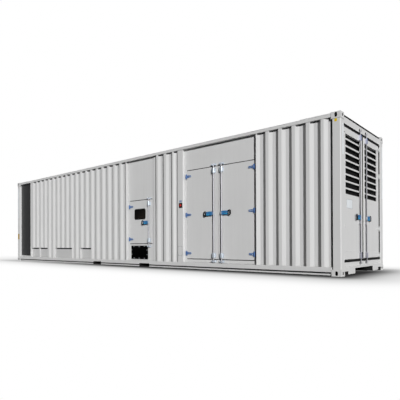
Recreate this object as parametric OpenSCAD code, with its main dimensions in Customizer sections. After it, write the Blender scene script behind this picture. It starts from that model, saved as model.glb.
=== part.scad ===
// Containerised diesel generator set: sound-proofed 40 ft high-cube enclosure.
// Millimetres. Origin at the centre of the base, +Z up, +X towards the louvred
// doors, -Y towards the service side with the control and engine doors.

/* [Enclosure] */
// Overall length over the corner castings
length = 12192; // [12192:1:12400]
// Overall width over the corner castings
width = 2438; // [2438:1:2500]
// Overall height over the corner castings
height = 2896; // [2896:1:3000]

/* [Corner castings] */
// Casting size along the length
cast_x = 178; // [170:1:190]
// Casting size across the width
cast_y = 162; // [155:1:170]
// Casting height
cast_z = 118; // [112:1:124]
// Casting wall thickness
cast_wall = 28; // [24:1:32]
// Length of the twist-lock slot
lock_slot_l = 124; // [118:1:128]
// Width of the twist-lock slot
lock_slot_w = 63.5; // [60:0.5:66]
// Twist-lock spacing along the length
lock_pitch_x = 11985; // [11985:1:11990]
// Twist-lock spacing across the width
lock_pitch_y = 2259; // [2255:1:2262]

/* [Walls] */
// How far the crests of the corrugated sheet stand inside the castings
crest_inset = 12; // [8:1:16]
// Depth of the corrugation
corr_depth = 36; // [30:1:40]
// How far the flat recessed bays stand inside the castings
bay_inset = 80; // [70:1:90]
// How far the inner lining stands inside the castings
lining_inset = 140; // [130:1:150]
// Underside of the walls, on the bottom side rail
wall_z0 = 158; // [150:1:165]
// Top of the walls, under the top side rail
wall_z1 = 2811; // [2790:1:2815]

/* [Doors] */
// Thickness of a side door leaf
leaf_t = 51; // [40:1:54]
// Thickness of a louvred end door leaf
end_leaf_t = 56; // [45:1:60]
// Radius of a lock rod
rod_r = 13; // [10:0.5:14]
// Radius of a hinge pin
pin_r = 6; // [5:0.5:7]
// Radius of a hinge knuckle
knuckle_r = 11; // [10:0.5:12]
// Radial clearance at pins and rods
fit_gap = 0.5; // [0.3:0.1:1]

/* [Louvres] */
// Louvre blades in each end door
blade_count = 8; // [6:1:9]
// Vertical spacing of the blades
blade_pitch = 128; // [124:1:130]

/* [Hidden] */
$fn = 32;

hx = length / 2;
hy = width / 2;
e = 0.01;
white = [0.83, 0.83, 0.82];
black = [0.08, 0.08, 0.085];

yc = -(hy - crest_inset);              // crest plane of the service side, -1207
yt = yc + corr_depth;                  // trough plane, -1171
yb = -(hy - bay_inset);                // bay plane, -1139
yi = -(hy - lining_inset);             // inner lining, -1079
leaf_y0 = yb - 8;                      // outer face of a side door leaf
leaf_y1 = leaf_y0 + leaf_t;            // its inner face
stop_y0 = leaf_y1 + 6;                 // door stop behind the leaf
hinge_y = -1160;                       // hinge axis of the side doors
rod_y = -1176;                         // lock rod axis of the side doors
post_x = hx - 153;                     // inner edge of a corner post, 5943
end_in = hy - cast_y;                  // inner edge of posts across the width, 1057
end_face = hx - 6;                     // end face of the posts
frame_x = hx - 32;                     // face of the louvre end sill and header
leaf_x1 = hx - 41;                     // outer face of the louvred leaves
leaf_x0 = leaf_x1 - end_leaf_t;        // inner face
end_hinge_x = hx - 18;                 // hinge axis of the louvred leaves
end_hinge_y = 1043;
end_rod_x = hx - 16;                   // lock rod axis of the louvred leaves
end_rod_y = 174;
end_rod_r = 12;                         // a little thinner, to stay inside the castings

// doorways
ctl = [345, 1205, 612, 1737];          // control door leaf: x0, x1, z0, z1
egl = [2426, 3341.5, 249, 2300];       // left engine door leaf
egr = [3352.5, 4272, 249, 2300];       // right engine door leaf
egb = [2340, 4355];                    // engine bay
end_z = [281, 2704];                   // louvred leaves
louv = [128, 903, 1480, 2569];         // louvre opening in a leaf: |y| and z
side_hinge_z = [370, 1268, 2168];
ctl_hinge_z = [722, 1590];
end_hinge_z = [330, 897, 2030, 2612];
fork_x = [-1083.5, 970.5];             // fork pocket centres

// ---- helpers -------------------------------------------------------------

// upright piece whose plan outline is given by points
module plan(pts, z0, z1) translate([0, 0, z0]) linear_extrude(z1 - z0) polygon(pts);
// profile in Y-Z, drawn along X
module along_x(pts, x0, x1) translate([x0, 0, 0]) rotate([90, 0, 90]) linear_extrude(x1 - x0) polygon(pts);
// profile in X-Z, drawn along Y
module along_y(pts, y0, y1) translate([0, y1, 0]) rotate([90, 0, 0]) linear_extrude(y1 - y0) polygon(pts);
// box from limits
module bx(x0, x1, y0, y1, z0, z1) translate([x0, y0, z0]) cube([x1 - x0, y1 - y0, z1 - z0]);
// the same piece at both sides of the middle plane
module both_y() { children(); mirror([0, 1, 0]) children(); }
module both_x() { children(); mirror([1, 0, 0]) children(); }
// rounded outline
function arc(cx, cy, r, a0, n = 4) = [for (i = [0 : n]) [cx + r * cos(a0 + 90 * i / n), cy + r * sin(a0 + 90 * i / n)]];
function rr(x0, x1, y0, y1, r, n = 4) = concat(arc(x1 - r, y1 - r, r, 0, n), arc(x0 + r, y1 - r, r, 90, n),
    arc(x0 + r, y0 + r, r, 180, n), arc(x1 - r, y0 + r, r, 270, n));
// one corrugation round a trough centred on xt: crest c, slope s, trough t
function trough(xt, p, a, b) = [[xt - p * 0.378, a], [xt - p * 0.128, b], [xt + p * 0.128, b], [xt + p * 0.378, a]];
function troughs(x0, p, n, a, b) = [for (k = [0 : n - 1]) each trough(x0 + k * p, p, a, b)];

// ---- corner castings and posts ---------------------------------------------

module slot(l, w, h) {
    cube([l - w, w, h], center = true);
    for (s = [-1, 1]) translate([s * (l - w) / 2, 0, 0]) cylinder(r = w / 2, h = h, center = true);
}
// casting at the +X, +Y corner, base at z = 0; the slotted face is underneath
module casting() {
    difference() {
        bx(hx - cast_x, hx, hy - cast_y, hy, 0, cast_z);
        bx(hx - cast_x + 20, hx - cast_wall, hy - cast_y + 20, hy - cast_wall, cast_wall, cast_z - 20);
        translate([lock_pitch_x / 2, lock_pitch_y / 2, 0]) slot(lock_slot_l, lock_slot_w, 3 * cast_wall);
        translate([hx - 89, hy, 54]) rotate([90, 90, 0]) slot(79.5, 51, 3 * cast_wall);
        translate([hx, hy - 89, 54]) rotate([0, 90, 0]) rotate([0, 0, 90]) slot(63.5, 51, 3 * cast_wall);
    }
}
module corner_castings_bottom() color(white) both_x() both_y() casting();
module corner_castings_top() color(white) translate([0, 0, height]) mirror([0, 0, 1]) both_x() both_y() casting();

module corner_posts() color(white) both_x() both_y()
    plan(concat([[post_x, end_in]], [[end_face, end_in]], arc(end_face - 14, hy - 6 - 14, 14, 0), [[post_x, hy - 6]]), cast_z, height - cast_z);

// ---- side rails ---------------------------------------------------------------

module bottom_rail() {
    difference() {
        union() {
            // channel with a flat upper face
            along_x([[-1213, 158], [-1213, 71], [-1188, 71], [-1188, 30], [-1105, 30], [-1105, 40], [-1165, 40], [-1165, 146], [-1105, 146], [-1105, 158]],
                -(hx - cast_x), hx - cast_x);
            // lower lip, stopped short of the castings
            along_x([[-1207, 42], [-1207, 14], [-1105, 14], [-1105, 30 + e], [-1188 + e, 30 + e], [-1188 + e, 42]], -(hx - cast_x - 28), hx - cast_x - 28);
        }
        for (x = fork_x) bx(x - 190, x + 190, -1300, -1000, 0, 96);
    }
}
module bottom_side_rails() color(white) both_y() bottom_rail();

module top_side_rails() color(white) both_y()
    along_x(rr(-1213, -1153, wall_z1, 2871, 8, 3), -(hx - cast_x), hx - cast_x);

// ---- louvre end frame -----------------------------------------------------------

module sill_louvre_end() color(white) {
    bx(5966, frame_x, -end_in, end_in, 160 - e, 238);
    // lower beam flush with the posts, cut away at the castings and over the tunnel
    along_x([[-end_in, 160], [-end_in, 80], [-872, 80], [-866, 22], [-515, 22], [-515, 120], [515, 120], [515, 22], [866, 22], [872, 80], [end_in, 80], [end_in, 160]],
        5966, end_face);
}

module header_louvre_end() color(white) {
    along_y([[5918, 2811], [6020, 2811], [6020, 2721], [frame_x, 2721], [frame_x, 2853], [6050, 2853], [6050, 2866], [5918, 2866]], -end_in, end_in);
}
module roof_edge_seal() color(black) bx(6050, frame_x + 2, -end_in, end_in, 2853, 2872);

// stop frame behind the louvred leaves
module louvre_door_frame() color(white) difference() {
    union() {
        bx(5930, 5966, -end_in, end_in, wall_z0, wall_z1);
        bx(5966, leaf_x0 - 6, -end_in, end_in, 238, wall_z1);
    }
    bx(5900, 6100, -1005, 1005, 311, 2674);
}

// ---- blind end --------------------------------------------------------------------

module sill_blind_end() color(white) bx(-end_face, -5966, -end_in, end_in, 14, wall_z0);
module header_blind_end() color(white) bx(-end_face, -5918, -end_in, end_in, 2778, 2866);
module end_wall_blind() color(white) translate([0, 0, wall_z0]) linear_extrude(2778 - wall_z0)
    polygon(concat([[-5975, -end_in], [-6082, -end_in]],
        [for (k = [-3 : 3]) each [[-6082, 278 * k - 105], [-6046, 278 * k - 36], [-6046, 278 * k + 36], [-6082, 278 * k + 105]]],
        [[-6082, end_in], [-5975, end_in]]));

// ---- rear wall, roof, floor ----------------------------------------------------------

// room for the top corner castings at the ends of a wall
module casting_notch() both_x() both_y() bx(hx - cast_x, hx, 1000, hy, height - cast_z, height);
module rear_wall() color(white) difference() {
    plan(concat([[-post_x, -yi], [-post_x, -yb], [-5909, -yb], [-5909, -yt], [-5850, -yt], [-5781, -yc]],
        troughs(-5560, 278, 41, -yc, -yt),
        [[5781, -yc], [5850, -yt], [5909, -yt], [5909, -yb], [post_x, -yb], [post_x, -yi]]), wall_z0, wall_z1);
    casting_notch();
}

module roof_panel() color(white)
    along_y(concat([[-5918, wall_z1], [-5918, 2866]],
        [for (k = [0 : 54]) each [[-5643 + 209 * k - 70, 2866], [-5643 + 209 * k - 48, 2848], [-5643 + 209 * k + 48, 2848], [-5643 + 209 * k + 70, 2866]]],
        [[5918, 2866], [5918, wall_z1]]), -1153, 1153);

// raised access hatch on the roof by the service side
module roof_hatch() color(white) bx(5315, 5763, -1150, -700, 2866, 2889);

module floor_plate() color([0.35, 0.36, 0.37]) {
    bx(-post_x, post_x, -1105, 1105, 146, wall_z0);
    both_x() bx(post_x - e, 5966, -end_in, end_in, 146, wall_z0);
}

module beam(x, y0, y1) along_y([[x - 30, 40], [x + 30, 40], [x + 30, 50], [x - 20, 50], [x - 20, 136], [x + 30, 136], [x + 30, 146], [x - 30, 146]], y0, y1);
module cross_members() color([0.55, 0.56, 0.56]) {
    for (x = [-5500, -4850, -4200, -3550, -2900, -2250, -1600, -500, 350, 1500, 2150]) beam(x, -1165, 1165);
    for (x = [3200, 3900, 4600, 5300]) both_y() beam(x, 523, 1165);
}

module gooseneck_tunnel() color([0.55, 0.56, 0.56])
    along_x([[-523, 146], [-523, 24], [-575, 24], [-575, 14], [-515, 14], [-515, 120], [515, 120], [515, 14], [575, 14], [575, 24], [523, 24], [523, 146]], 2780, 5966);

module fork_pockets() color([0.55, 0.56, 0.56]) for (x = fork_x) difference() {
    bx(x - 190, x + 190, -1210, 1210, 14, 96);
    bx(x - 182, x + 182, -1300, 1300, 22, 88);
}

// ---- service side, left part -------------------------------------------------------------

module signage_panel() color(black) difference() {
    bx(-post_x, -5118, yb, yi, wall_z0, wall_z1);
    casting_notch();
}

recess_x = [[-5085, -4565], [-4508, -3990], [-3485, -2437], [-1965, -1393]];
module wall_left() color(white) difference() {
    plan(concat([[-5118, yi], [-5118, yc]], troughs(-4820, 274.6, 19, yc, yt), [[260, yc], [260, yi]]), wall_z0, wall_z1);
    for (r = recess_x) bx(r[0], r[1], -1300, -1105, wall_z0 - 1, 483);
}
// flat panels set back in the cut-outs, with a shadow slot over each
module lower_recess_panels() color(white) for (r = recess_x) bx(r[0], r[1], yb, -1105, wall_z0, 443);

// ---- control bay -----------------------------------------------------------------------------

module control_bay_panel() color(white) difference() {
    bx(260, 1287, yb, yi, wall_z0, wall_z1);
    bx(ctl[0] - 10, ctl[1] + 10, -1300, stop_y0, ctl[2] - 10, ctl[3] + 10);
    bx(ctl[0] + 15, ctl[1] - 15, -1300, -1000, ctl[2] + 15, ctl[3] - 15);
    bx(434, 1006, -1300, -1000, 237, 510);
}
module cable_entry_panel() color(black) {
    bx(394, 1046, yb - 8, yb, 197, 551);
    bx(436, 1004, yb - e, yb + 20, 239, 508);
}

module side_hinge_fixed(x, z, s) translate([x, hinge_y, z]) mirror([s < 0 ? 1 : 0, 0, 0]) {
    bx(-52, -2, 14, 21, -51, 51);
    for (k = [-1, 1]) translate([0, 0, k * 39]) {
        cylinder(r = knuckle_r, h = 24, center = true);
        bx(-knuckle_r, 0, 0, 21, -12, 12);
    }
    cylinder(r = pin_r, h = 102, center = true);
}
module side_hinge_leaf(x, z, s) translate([x, hinge_y, z]) mirror([s < 0 ? 1 : 0, 0, 0]) difference() {
    union() {
        cylinder(r = knuckle_r, h = 50, center = true);
        bx(0, 130, 5, 13 + e, -25, 25);
    }
    cylinder(r = pin_r + fit_gap, h = 70, center = true);
}
// guide bracket that carries a lock rod on a side door
module side_guide(x, z) bx(x - 30, x + 30, rod_y - 20, leaf_y0 + e, z - 50, z + 50);
module rod_hole(x, y, r = rod_r) translate([x, y, 0]) cylinder(r = r + 1, h = height);

module control_door() color(white) difference() {
    union() {
        bx(ctl[0], ctl[1], leaf_y0, leaf_y1, ctl[2], ctl[3]);
        for (z = ctl_hinge_z) side_hinge_leaf(ctl[0] - 8, z, 1);
        for (z = [688, 1630]) side_guide(1110, z);
    }
    translate([0, leaf_y1 + 1, 0]) rotate([90, 0, 0]) linear_extrude(leaf_t + 2) polygon(rr(548, 951, 1252, 1505, 45));
    rod_hole(1110, rod_y);
}
module control_door_window() color([0.05, 0.06, 0.07]) translate([0, leaf_y1 - 12, 0]) rotate([90, 0, 0]) {
    linear_extrude(leaf_t - 12) polygon(rr(548, 951, 1252, 1505, 45));
    translate([0, 0, leaf_t - 12]) linear_extrude(5) polygon(rr(533, 966, 1237, 1520, 52));
}

// looped grip at the end of a lever handle
module grip() difference() {
    polygon(rr(-45, 45, -60, 60, 35));
    polygon(rr(-24, 24, -38, 38, 20));
}
// lock rod with its lever handle and cams; d = -1 when the handle lies to the left
module side_lock(x, z0, z1, zh, reach, d) translate([x, rod_y, 0]) {
    translate([0, 0, z0]) cylinder(r = rod_r, h = z1 - z0);
    for (z = [z0 + 14, z1 - 14]) translate([0, 0, z]) {
        cylinder(r = 18, h = 20, center = true);
        bx(min(0, -d * 27), max(0, -d * 27), -8, 8, -10, 10);
    }
    translate([0, 0, zh]) {
        cylinder(r = 20, h = 56, center = true);
        bx(min(0, d * (reach - 90)), max(0, d * (reach - 90)), -20, -8, -43, 43);
    }
}
// looped grip at the free end of a lever
module side_grip(x, zh, reach, d)
    translate([x + d * (reach - 45), rod_y - 6, zh]) rotate([90, 0, 0]) linear_extrude(14) grip();
module control_lock_grip() color(black) side_grip(1110, 1148, 265, -1);
module control_door_lock() color([0.10, 0.35, 0.62]) side_lock(1110, 520, 1782, 1148, 265, -1);

// ---- middle wall and switch post ---------------------------------------------------------------------

module wall_middle() color(white)
    plan([[1287, yi], [1287, yt], [1364, yt], [1432, yc], [1490, yc], [1558, yt], [1630, yt], [1700, yc], [1776, yc], [1846, yt], [1917, yt],
        [1985, yc], [2030, yc], [2080, yt], [2118, yt], [2172, yc], [2174, yc], [2174, yi]], wall_z0, wall_z1);
module switch_post() color(white) difference() {
    bx(2174, 2340, yc, yi, wall_z0, wall_z1);
    bx(2206, 2323, -1300, -1150, 1439, 1560);
}
module estop_box() color(black) bx(2206 + 1, 2323 - 1, yc - 2, -1150, 1440, 1559);
module estop_button() color([0.75, 0.06, 0.05]) translate([2264.5, yc - 2, 1500]) rotate([90, 0, 0])
    cylinder(r = 26, h = 9.9);
module access_cover() color(white) bx(2186, 2316, yc - 5, yc, 315, 533);

// ---- engine bay ------------------------------------------------------------------------------------------

module engine_bay_frame() color(white) difference() {
    bx(egb[0], egb[1], yb, yi, wall_z0, wall_z1);
    bx(egl[0] - 10, egr[1] + 10, -1300, stop_y0, egl[2] - 10, egl[3] + 10);
    bx(egl[0] + 15, egr[1] - 15, -1300, -1000, egl[2] + 15, egl[3] - 15);
}
module engine_leaf(l, hingex, s, rodx) difference() {
    union() {
        bx(l[0], l[1], leaf_y0, leaf_y1, l[2], l[3]);
        for (z = side_hinge_z) side_hinge_leaf(hingex, z, s);
        for (z = [330, 2213]) side_guide(rodx, z);
    }
    rod_hole(rodx, rod_y);
}
module engine_door_left() color(white) engine_leaf(egl, egl[0] - 8, 1, 3232);
module engine_door_right() color(white) engine_leaf(egr, egr[1] + 8, -1, 3450);
module engine_lock_left() color([0.10, 0.35, 0.62]) side_lock(3232, 172, 2359, 1262, 278, -1);
module engine_lock_right() color([0.10, 0.35, 0.62]) side_lock(3450, 172, 2359, 1262, 272, 1);
module engine_grip_left() color(black) side_grip(3232, 1262, 278, -1);
module engine_grip_right() color(black) side_grip(3450, 1262, 272, 1);

// ---- right wall ----------------------------------------------------------------------------------------------

module wall_right() color(white) difference() {
    plan(concat([[4355, yi], [4355, yc]], troughs(4474, 286, 5, yc, yt),
        [[5781, yc], [5850, yt], [5909, yt], [5909, yb], [post_x, yb], [post_x, yi]]), wall_z0, wall_z1);
    casting_notch();
}

// ---- louvred end doors ---------------------------------------------------------------------------------------------

module end_hinge_fixed(z) translate([end_hinge_x, end_hinge_y, z]) {
    for (k = [-1, 1]) translate([0, 0, k * 38]) {
        cylinder(r = knuckle_r, h = 24, center = true);
        bx(-knuckle_r, knuckle_r, 0, end_in - end_hinge_y, -12, 12);
    }
    cylinder(r = pin_r, h = 100, center = true);
}
module end_hinge_leaf(z) translate([end_hinge_x, end_hinge_y, z]) difference() {
    union() {
        cylinder(r = knuckle_r, h = 48, center = true);
        bx(-32 - e, -18, -140, -2, -24, 24);
        bx(-20, 0, -9, -1, -24, 24);
    }
    cylinder(r = pin_r + fit_gap, h = 80, center = true);
}
module end_leaf() difference() {
    union() {
        bx(leaf_x0, leaf_x1, 7, 1035, end_z[0], end_z[1]);
        for (z = end_hinge_z) end_hinge_leaf(z);
        for (g = [[345, 52], [985, 28], [2628, 52]]) bx(leaf_x1 - e, hx - 0.5, end_rod_y - 30, end_rod_y + 30, g[0] - g[1], g[0] + g[1]);
    }
    bx(leaf_x0 - 1, leaf_x1 + 1, louv[0], louv[1], louv[2], louv[3]);
    rod_hole(end_rod_x, end_rod_y, end_rod_r);
}
// blades slope down and outwards, with an upright front lip; a mesh screen stands behind them
module louvre_bank() {
    x1 = leaf_x1 - 2;
    for (k = [0 : blade_count - 1]) {
        z = louv[2] + 65 + k * blade_pitch;
        along_y([[x1, z + 20], [x1, z + 52], [x1 - 4, z + 52], [x1 - 4, z + 28], [x1 - 44, z + 68], [x1 - 47, z + 65], [x1 - 4, z + 20]], louv[0], louv[1]);
    }
    bx(leaf_x0, leaf_x0 + 5, louv[0], louv[1], louv[2], louv[3]);
}
module end_lock(zh) translate([end_rod_x, end_rod_y, 0]) {
    translate([0, 0, 190]) cylinder(r = end_rod_r, h = 2792 - 190);
    for (z = [206, 2776]) translate([0, 0, z]) {
        cylinder(r = 14, h = 22, center = true);
        bx(-8, 8, 0, 25, -10, 10);
    }
    translate([0, 0, zh]) {
        cylinder(r = 15, h = 60, center = true);
        bx(-2, 10, 0, 172, -43, 43);
    }
}
module end_grip(zh) translate([end_rod_x, end_rod_y + 217, zh]) rotate([90, 0, 90]) linear_extrude(14) grip();
module louvre_door_right() color(white) end_leaf();
module louvre_door_left() color(white) mirror([0, 1, 0]) end_leaf();
module louvre_bank_right() color([0.8, 0.8, 0.79]) louvre_bank();
module louvre_bank_left() color([0.8, 0.8, 0.79]) mirror([0, 1, 0]) louvre_bank();
module louvre_lock_right() color([0.7, 0.72, 0.74]) end_lock(1083);
module louvre_lock_left() color([0.7, 0.72, 0.74]) mirror([0, 1, 0]) end_lock(1083);
module louvre_grip_right() color(black) end_grip(1083);
module louvre_grip_left() color(black) mirror([0, 1, 0]) end_grip(1083);

// ---- fixed hinge halves and keepers ------------------------------------------------------------------------------------

module hinge_pins() color([0.16, 0.2, 0.26]) {
    for (z = ctl_hinge_z) side_hinge_fixed(ctl[0] - 8, z, 1);
    for (z = side_hinge_z) {
        side_hinge_fixed(egl[0] - 8, z, 1);
        side_hinge_fixed(egr[1] + 8, z, -1);
    }
    both_y() for (z = end_hinge_z) end_hinge_fixed(z);
}
module side_keeper(x, z) for (s = [-1, 1]) bx(x + s * 37 - 5, x + s * 37 + 5, rod_y - 16, yb, z - 18, z + 18);
module lock_keepers() color([0.72, 0.75, 0.8]) {
    for (z = [534, 1768]) side_keeper(1110, z);
    for (x = [3232, 3450]) for (z = [200, 2345]) side_keeper(x, z);
    both_y() for (z = [206, 2776]) for (s = [-1, 1])
        bx(frame_x, end_face, end_rod_y + s * 36 - 5, end_rod_y + s * 36 + 5, z - 20, z + 20);
}

corner_castings_bottom();
corner_castings_top();
corner_posts();
bottom_side_rails();
top_side_rails();
sill_louvre_end();
header_louvre_end();
roof_edge_seal();
louvre_door_frame();
sill_blind_end();
header_blind_end();
end_wall_blind();
rear_wall();
roof_panel();
roof_hatch();
floor_plate();
cross_members();
gooseneck_tunnel();
fork_pockets();
signage_panel();
wall_left();
lower_recess_panels();
control_bay_panel();
cable_entry_panel();
wall_middle();
switch_post();
estop_box();
estop_button();
access_cover();
engine_bay_frame();
wall_right();
hinge_pins();
lock_keepers();
control_door();
control_door_window();
control_door_lock();
control_lock_grip();
engine_door_left();
engine_lock_left();
engine_grip_left();
engine_door_right();
engine_lock_right();
engine_grip_right();
louvre_door_left();
louvre_bank_left();
louvre_lock_left();
louvre_grip_left();
louvre_door_right();
louvre_bank_right();
louvre_lock_right();
louvre_grip_right();
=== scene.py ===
import math

import bmesh
import bpy
from mathutils import Matrix, Vector


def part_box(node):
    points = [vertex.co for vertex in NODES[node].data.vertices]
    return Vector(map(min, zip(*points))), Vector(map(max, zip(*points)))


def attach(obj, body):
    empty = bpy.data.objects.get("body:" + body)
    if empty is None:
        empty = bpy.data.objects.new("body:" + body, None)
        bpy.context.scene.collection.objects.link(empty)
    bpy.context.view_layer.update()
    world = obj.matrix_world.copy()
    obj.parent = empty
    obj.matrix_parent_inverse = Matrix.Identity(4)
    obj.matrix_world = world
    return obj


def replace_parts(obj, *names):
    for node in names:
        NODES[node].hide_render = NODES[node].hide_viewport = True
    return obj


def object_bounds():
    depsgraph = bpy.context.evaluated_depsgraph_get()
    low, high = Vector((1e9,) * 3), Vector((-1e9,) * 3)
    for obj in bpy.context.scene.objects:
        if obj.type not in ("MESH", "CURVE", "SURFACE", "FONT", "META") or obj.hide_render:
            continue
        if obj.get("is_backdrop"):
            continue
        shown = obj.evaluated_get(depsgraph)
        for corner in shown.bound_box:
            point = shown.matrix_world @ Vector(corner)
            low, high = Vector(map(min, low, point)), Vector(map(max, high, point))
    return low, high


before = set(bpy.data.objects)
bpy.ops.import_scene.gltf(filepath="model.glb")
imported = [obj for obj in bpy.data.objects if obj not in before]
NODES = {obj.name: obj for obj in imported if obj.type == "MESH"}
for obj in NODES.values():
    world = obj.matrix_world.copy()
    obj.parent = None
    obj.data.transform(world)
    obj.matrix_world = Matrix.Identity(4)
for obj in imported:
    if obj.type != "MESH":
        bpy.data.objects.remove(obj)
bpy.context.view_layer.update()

scene = bpy.context.scene

# ---------------------------------------------------------------------------
# node helpers
# ---------------------------------------------------------------------------


class Net:
    """A material's node tree, built a node at a time."""

    def __init__(self, name):
        self.mat = bpy.data.materials.new(name)
        self.mat.use_nodes = True
        self.nt = self.mat.node_tree
        self.nt.nodes.clear()
        self.out = self.nt.nodes.new("ShaderNodeOutputMaterial")
        self.bsdf = self.nt.nodes.new("ShaderNodeBsdfPrincipled")
        self.nt.links.new(self.bsdf.outputs[0], self.out.inputs["Surface"])
        tc = self.nt.nodes.new("ShaderNodeTexCoord")
        self.P = tc.outputs["Object"]
        sep = self.nt.nodes.new("ShaderNodeSeparateXYZ")
        self.nt.links.new(self.P, sep.inputs[0])
        self.x, self.y, self.z = sep.outputs[0], sep.outputs[1], sep.outputs[2]
        self._n = None

    def put(self, sock, value):
        if hasattr(value, "is_output") or isinstance(value, bpy.types.NodeSocket):
            self.nt.links.new(value, sock)
        else:
            sock.default_value = value

    def math(self, op, a, b=0.0, clamp=False):
        n = self.nt.nodes.new("ShaderNodeMath")
        n.operation, n.use_clamp = op, clamp
        self.put(n.inputs[0], a)
        self.put(n.inputs[1], b)
        return n.outputs[0]

    def mul(self, a, b):
        return self.math("MULTIPLY", a, b)

    def add(self, a, b):
        return self.math("ADD", a, b)

    def lt(self, a, b):
        return self.math("LESS_THAN", a, b)

    def gt(self, a, b):
        return self.math("GREATER_THAN", a, b)

    def inv(self, a):
        return self.math("SUBTRACT", 1.0, a)

    def absv(self, a):
        return self.math("ABSOLUTE", a)

    def span(self, v, lo, hi):
        return self.mul(self.gt(v, lo), self.lt(v, hi))

    def all(self, *ms):
        m = ms[0]
        for k in ms[1:]:
            m = self.mul(m, k)
        return m

    def any(self, *ms):
        m = ms[0]
        for k in ms[1:]:
            m = self.math("MAXIMUM", m, k)
        return m

    def remap(self, v, a, b, c, d, smooth=False):
        n = self.nt.nodes.new("ShaderNodeMapRange")
        n.interpolation_type = "SMOOTHSTEP" if smooth else "LINEAR"
        n.clamp = True
        self.put(n.inputs[0], v)
        for i, k in enumerate((a, b, c, d)):
            n.inputs[i + 1].default_value = k
        return n.outputs[0]

    def scaled(self, s):
        n = self.nt.nodes.new("ShaderNodeMapping")
        self.nt.links.new(self.P, n.inputs[0])
        n.inputs["Scale"].default_value = s
        return n.outputs[0]

    def noise(self, scale, detail=2.0, rough=0.5, vec=None, dist=0.0):
        n = self.nt.nodes.new("ShaderNodeTexNoise")
        self.nt.links.new(vec or self.P, n.inputs["Vector"])
        n.inputs["Scale"].default_value = scale
        n.inputs["Detail"].default_value = detail
        n.inputs["Roughness"].default_value = rough
        n.inputs["Distortion"].default_value = dist
        return n.outputs[0]

    def voronoi(self, scale, feature="F1", out="Distance", vec=None, rnd=1.0):
        n = self.nt.nodes.new("ShaderNodeTexVoronoi")
        n.feature = feature
        self.nt.links.new(vec or self.P, n.inputs["Vector"])
        n.inputs["Scale"].default_value = scale
        n.inputs["Randomness"].default_value = rnd
        return n.outputs[out]

    def ao(self, dist, samples=8):
        n = self.nt.nodes.new("ShaderNodeAmbientOcclusion")
        n.samples = samples
        n.inputs["Distance"].default_value = dist
        return n.outputs["AO"]

    def mix(self, fac, a, b):
        n = self.nt.nodes.new("ShaderNodeMix")
        n.data_type = "RGBA"
        n.clamp_factor = True
        self.put(n.inputs[0], fac)
        self.put(n.inputs[6], rgba(a))
        self.put(n.inputs[7], rgba(b))
        return n.outputs[2]

    def mixf(self, fac, a, b):
        n = self.nt.nodes.new("ShaderNodeMix")
        n.data_type = "FLOAT"
        n.clamp_factor = True
        self.put(n.inputs[0], fac)
        self.put(n.inputs[2], a)
        self.put(n.inputs[3], b)
        return n.outputs[0]

    def gain(self, col, k):
        """Colour times a number."""
        n = self.nt.nodes.new("ShaderNodeMix")
        n.data_type, n.blend_type = "RGBA", "MULTIPLY"
        n.inputs[0].default_value = 1.0
        self.put(n.inputs[6], rgba(col))
        c = self.nt.nodes.new("ShaderNodeCombineColor")
        for i in range(3):
            self.put(c.inputs[i], k)
        self.nt.links.new(c.outputs[0], n.inputs[7])
        return n.outputs[2]

    def bump(self, height, dist, strength=1.0):
        n = self.nt.nodes.new("ShaderNodeBump")
        n.inputs["Strength"].default_value = strength
        n.inputs["Distance"].default_value = dist
        self.put(n.inputs["Height"], height)
        if self._n is not None:
            self.nt.links.new(self._n, n.inputs["Normal"])
        self._n = n.outputs[0]
        self.nt.links.new(self._n, self.bsdf.inputs["Normal"])

    def normal_axis(self):
        n = self.nt.nodes.new("ShaderNodeNewGeometry")
        s = self.nt.nodes.new("ShaderNodeSeparateXYZ")
        t = self.nt.nodes.new("ShaderNodeVectorTransform")
        t.vector_type, t.convert_from, t.convert_to = "NORMAL", "WORLD", "OBJECT"
        self.nt.links.new(n.outputs["Normal"], t.inputs[0])
        self.nt.links.new(t.outputs[0], s.inputs[0])
        return [self.absv(s.outputs[i]) for i in range(3)]

    def facing(self, i):
        """The signed component of the face's own direction along an axis of the part."""
        n = self.nt.nodes.new("ShaderNodeNewGeometry")
        s = self.nt.nodes.new("ShaderNodeSeparateXYZ")
        t = self.nt.nodes.new("ShaderNodeVectorTransform")
        t.vector_type, t.convert_from, t.convert_to = "NORMAL", "WORLD", "OBJECT"
        self.nt.links.new(n.outputs["True Normal"], t.inputs[0])
        self.nt.links.new(t.outputs[0], s.inputs[0])
        return s.outputs[i]

    def set(self, name, value):
        self.put(self.bsdf.inputs[name], value)


def rgba(c):
    if isinstance(c, (tuple, list)):
        return (c[0], c[1], c[2], 1.0)
    return c


WHITE = (0.765, 0.765, 0.762)
ZINC = (0.62, 0.68, 0.75)
BLUE = (0.052, 0.225, 0.500)
HINGE_BLUE = (0.090, 0.190, 0.440)


def weathered(n, col, streak=0.03, dust=0.10, crevice=0.22, patch=0.018):
    """Slow patches, rain streaks, dust low down and painted shade in the corners and creases, over a paint colour."""
    v = n.remap(n.noise(0.9, 3.0), 0.3, 0.7, 1.0 - patch, 1.0 + patch)
    s = n.remap(n.noise(1.0, 5.0, 0.6, n.scaled((13.0, 13.0, 0.45))), 0.42, 0.75, 1.0, 1.0 - streak)
    f = n.remap(n.noise(210.0, 2.0), 0.3, 0.7, 0.988, 1.012)
    k = n.mul(n.mul(v, s), f)
    # painted shade: ambient occlusion darkens corners and creases
    if crevice:
        k = n.mul(k, n.remap(n.ao(0.07), 0.25, 0.95, 1.0 - crevice, 1.0))
    col = n.gain(col, k)
    if dust:
        low = n.remap(n.z, 0.02, 0.55, 1.0, 0.0, smooth=True)
        d = n.mul(low, n.remap(n.noise(6.0, 5.0, 0.65), 0.35, 0.7, 0.25, 1.0))
        col = n.mix(n.mul(d, dust), col, (0.36, 0.335, 0.29))
    return col


def orange_peel(n, size=330.0, depth=0.00012, sheet=0.0011):
    n.bump(n.noise(size, 2.0), depth, 0.55)
    if sheet:
        n.bump(n.noise(2.1, 2.0), sheet, 0.6)


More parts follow.
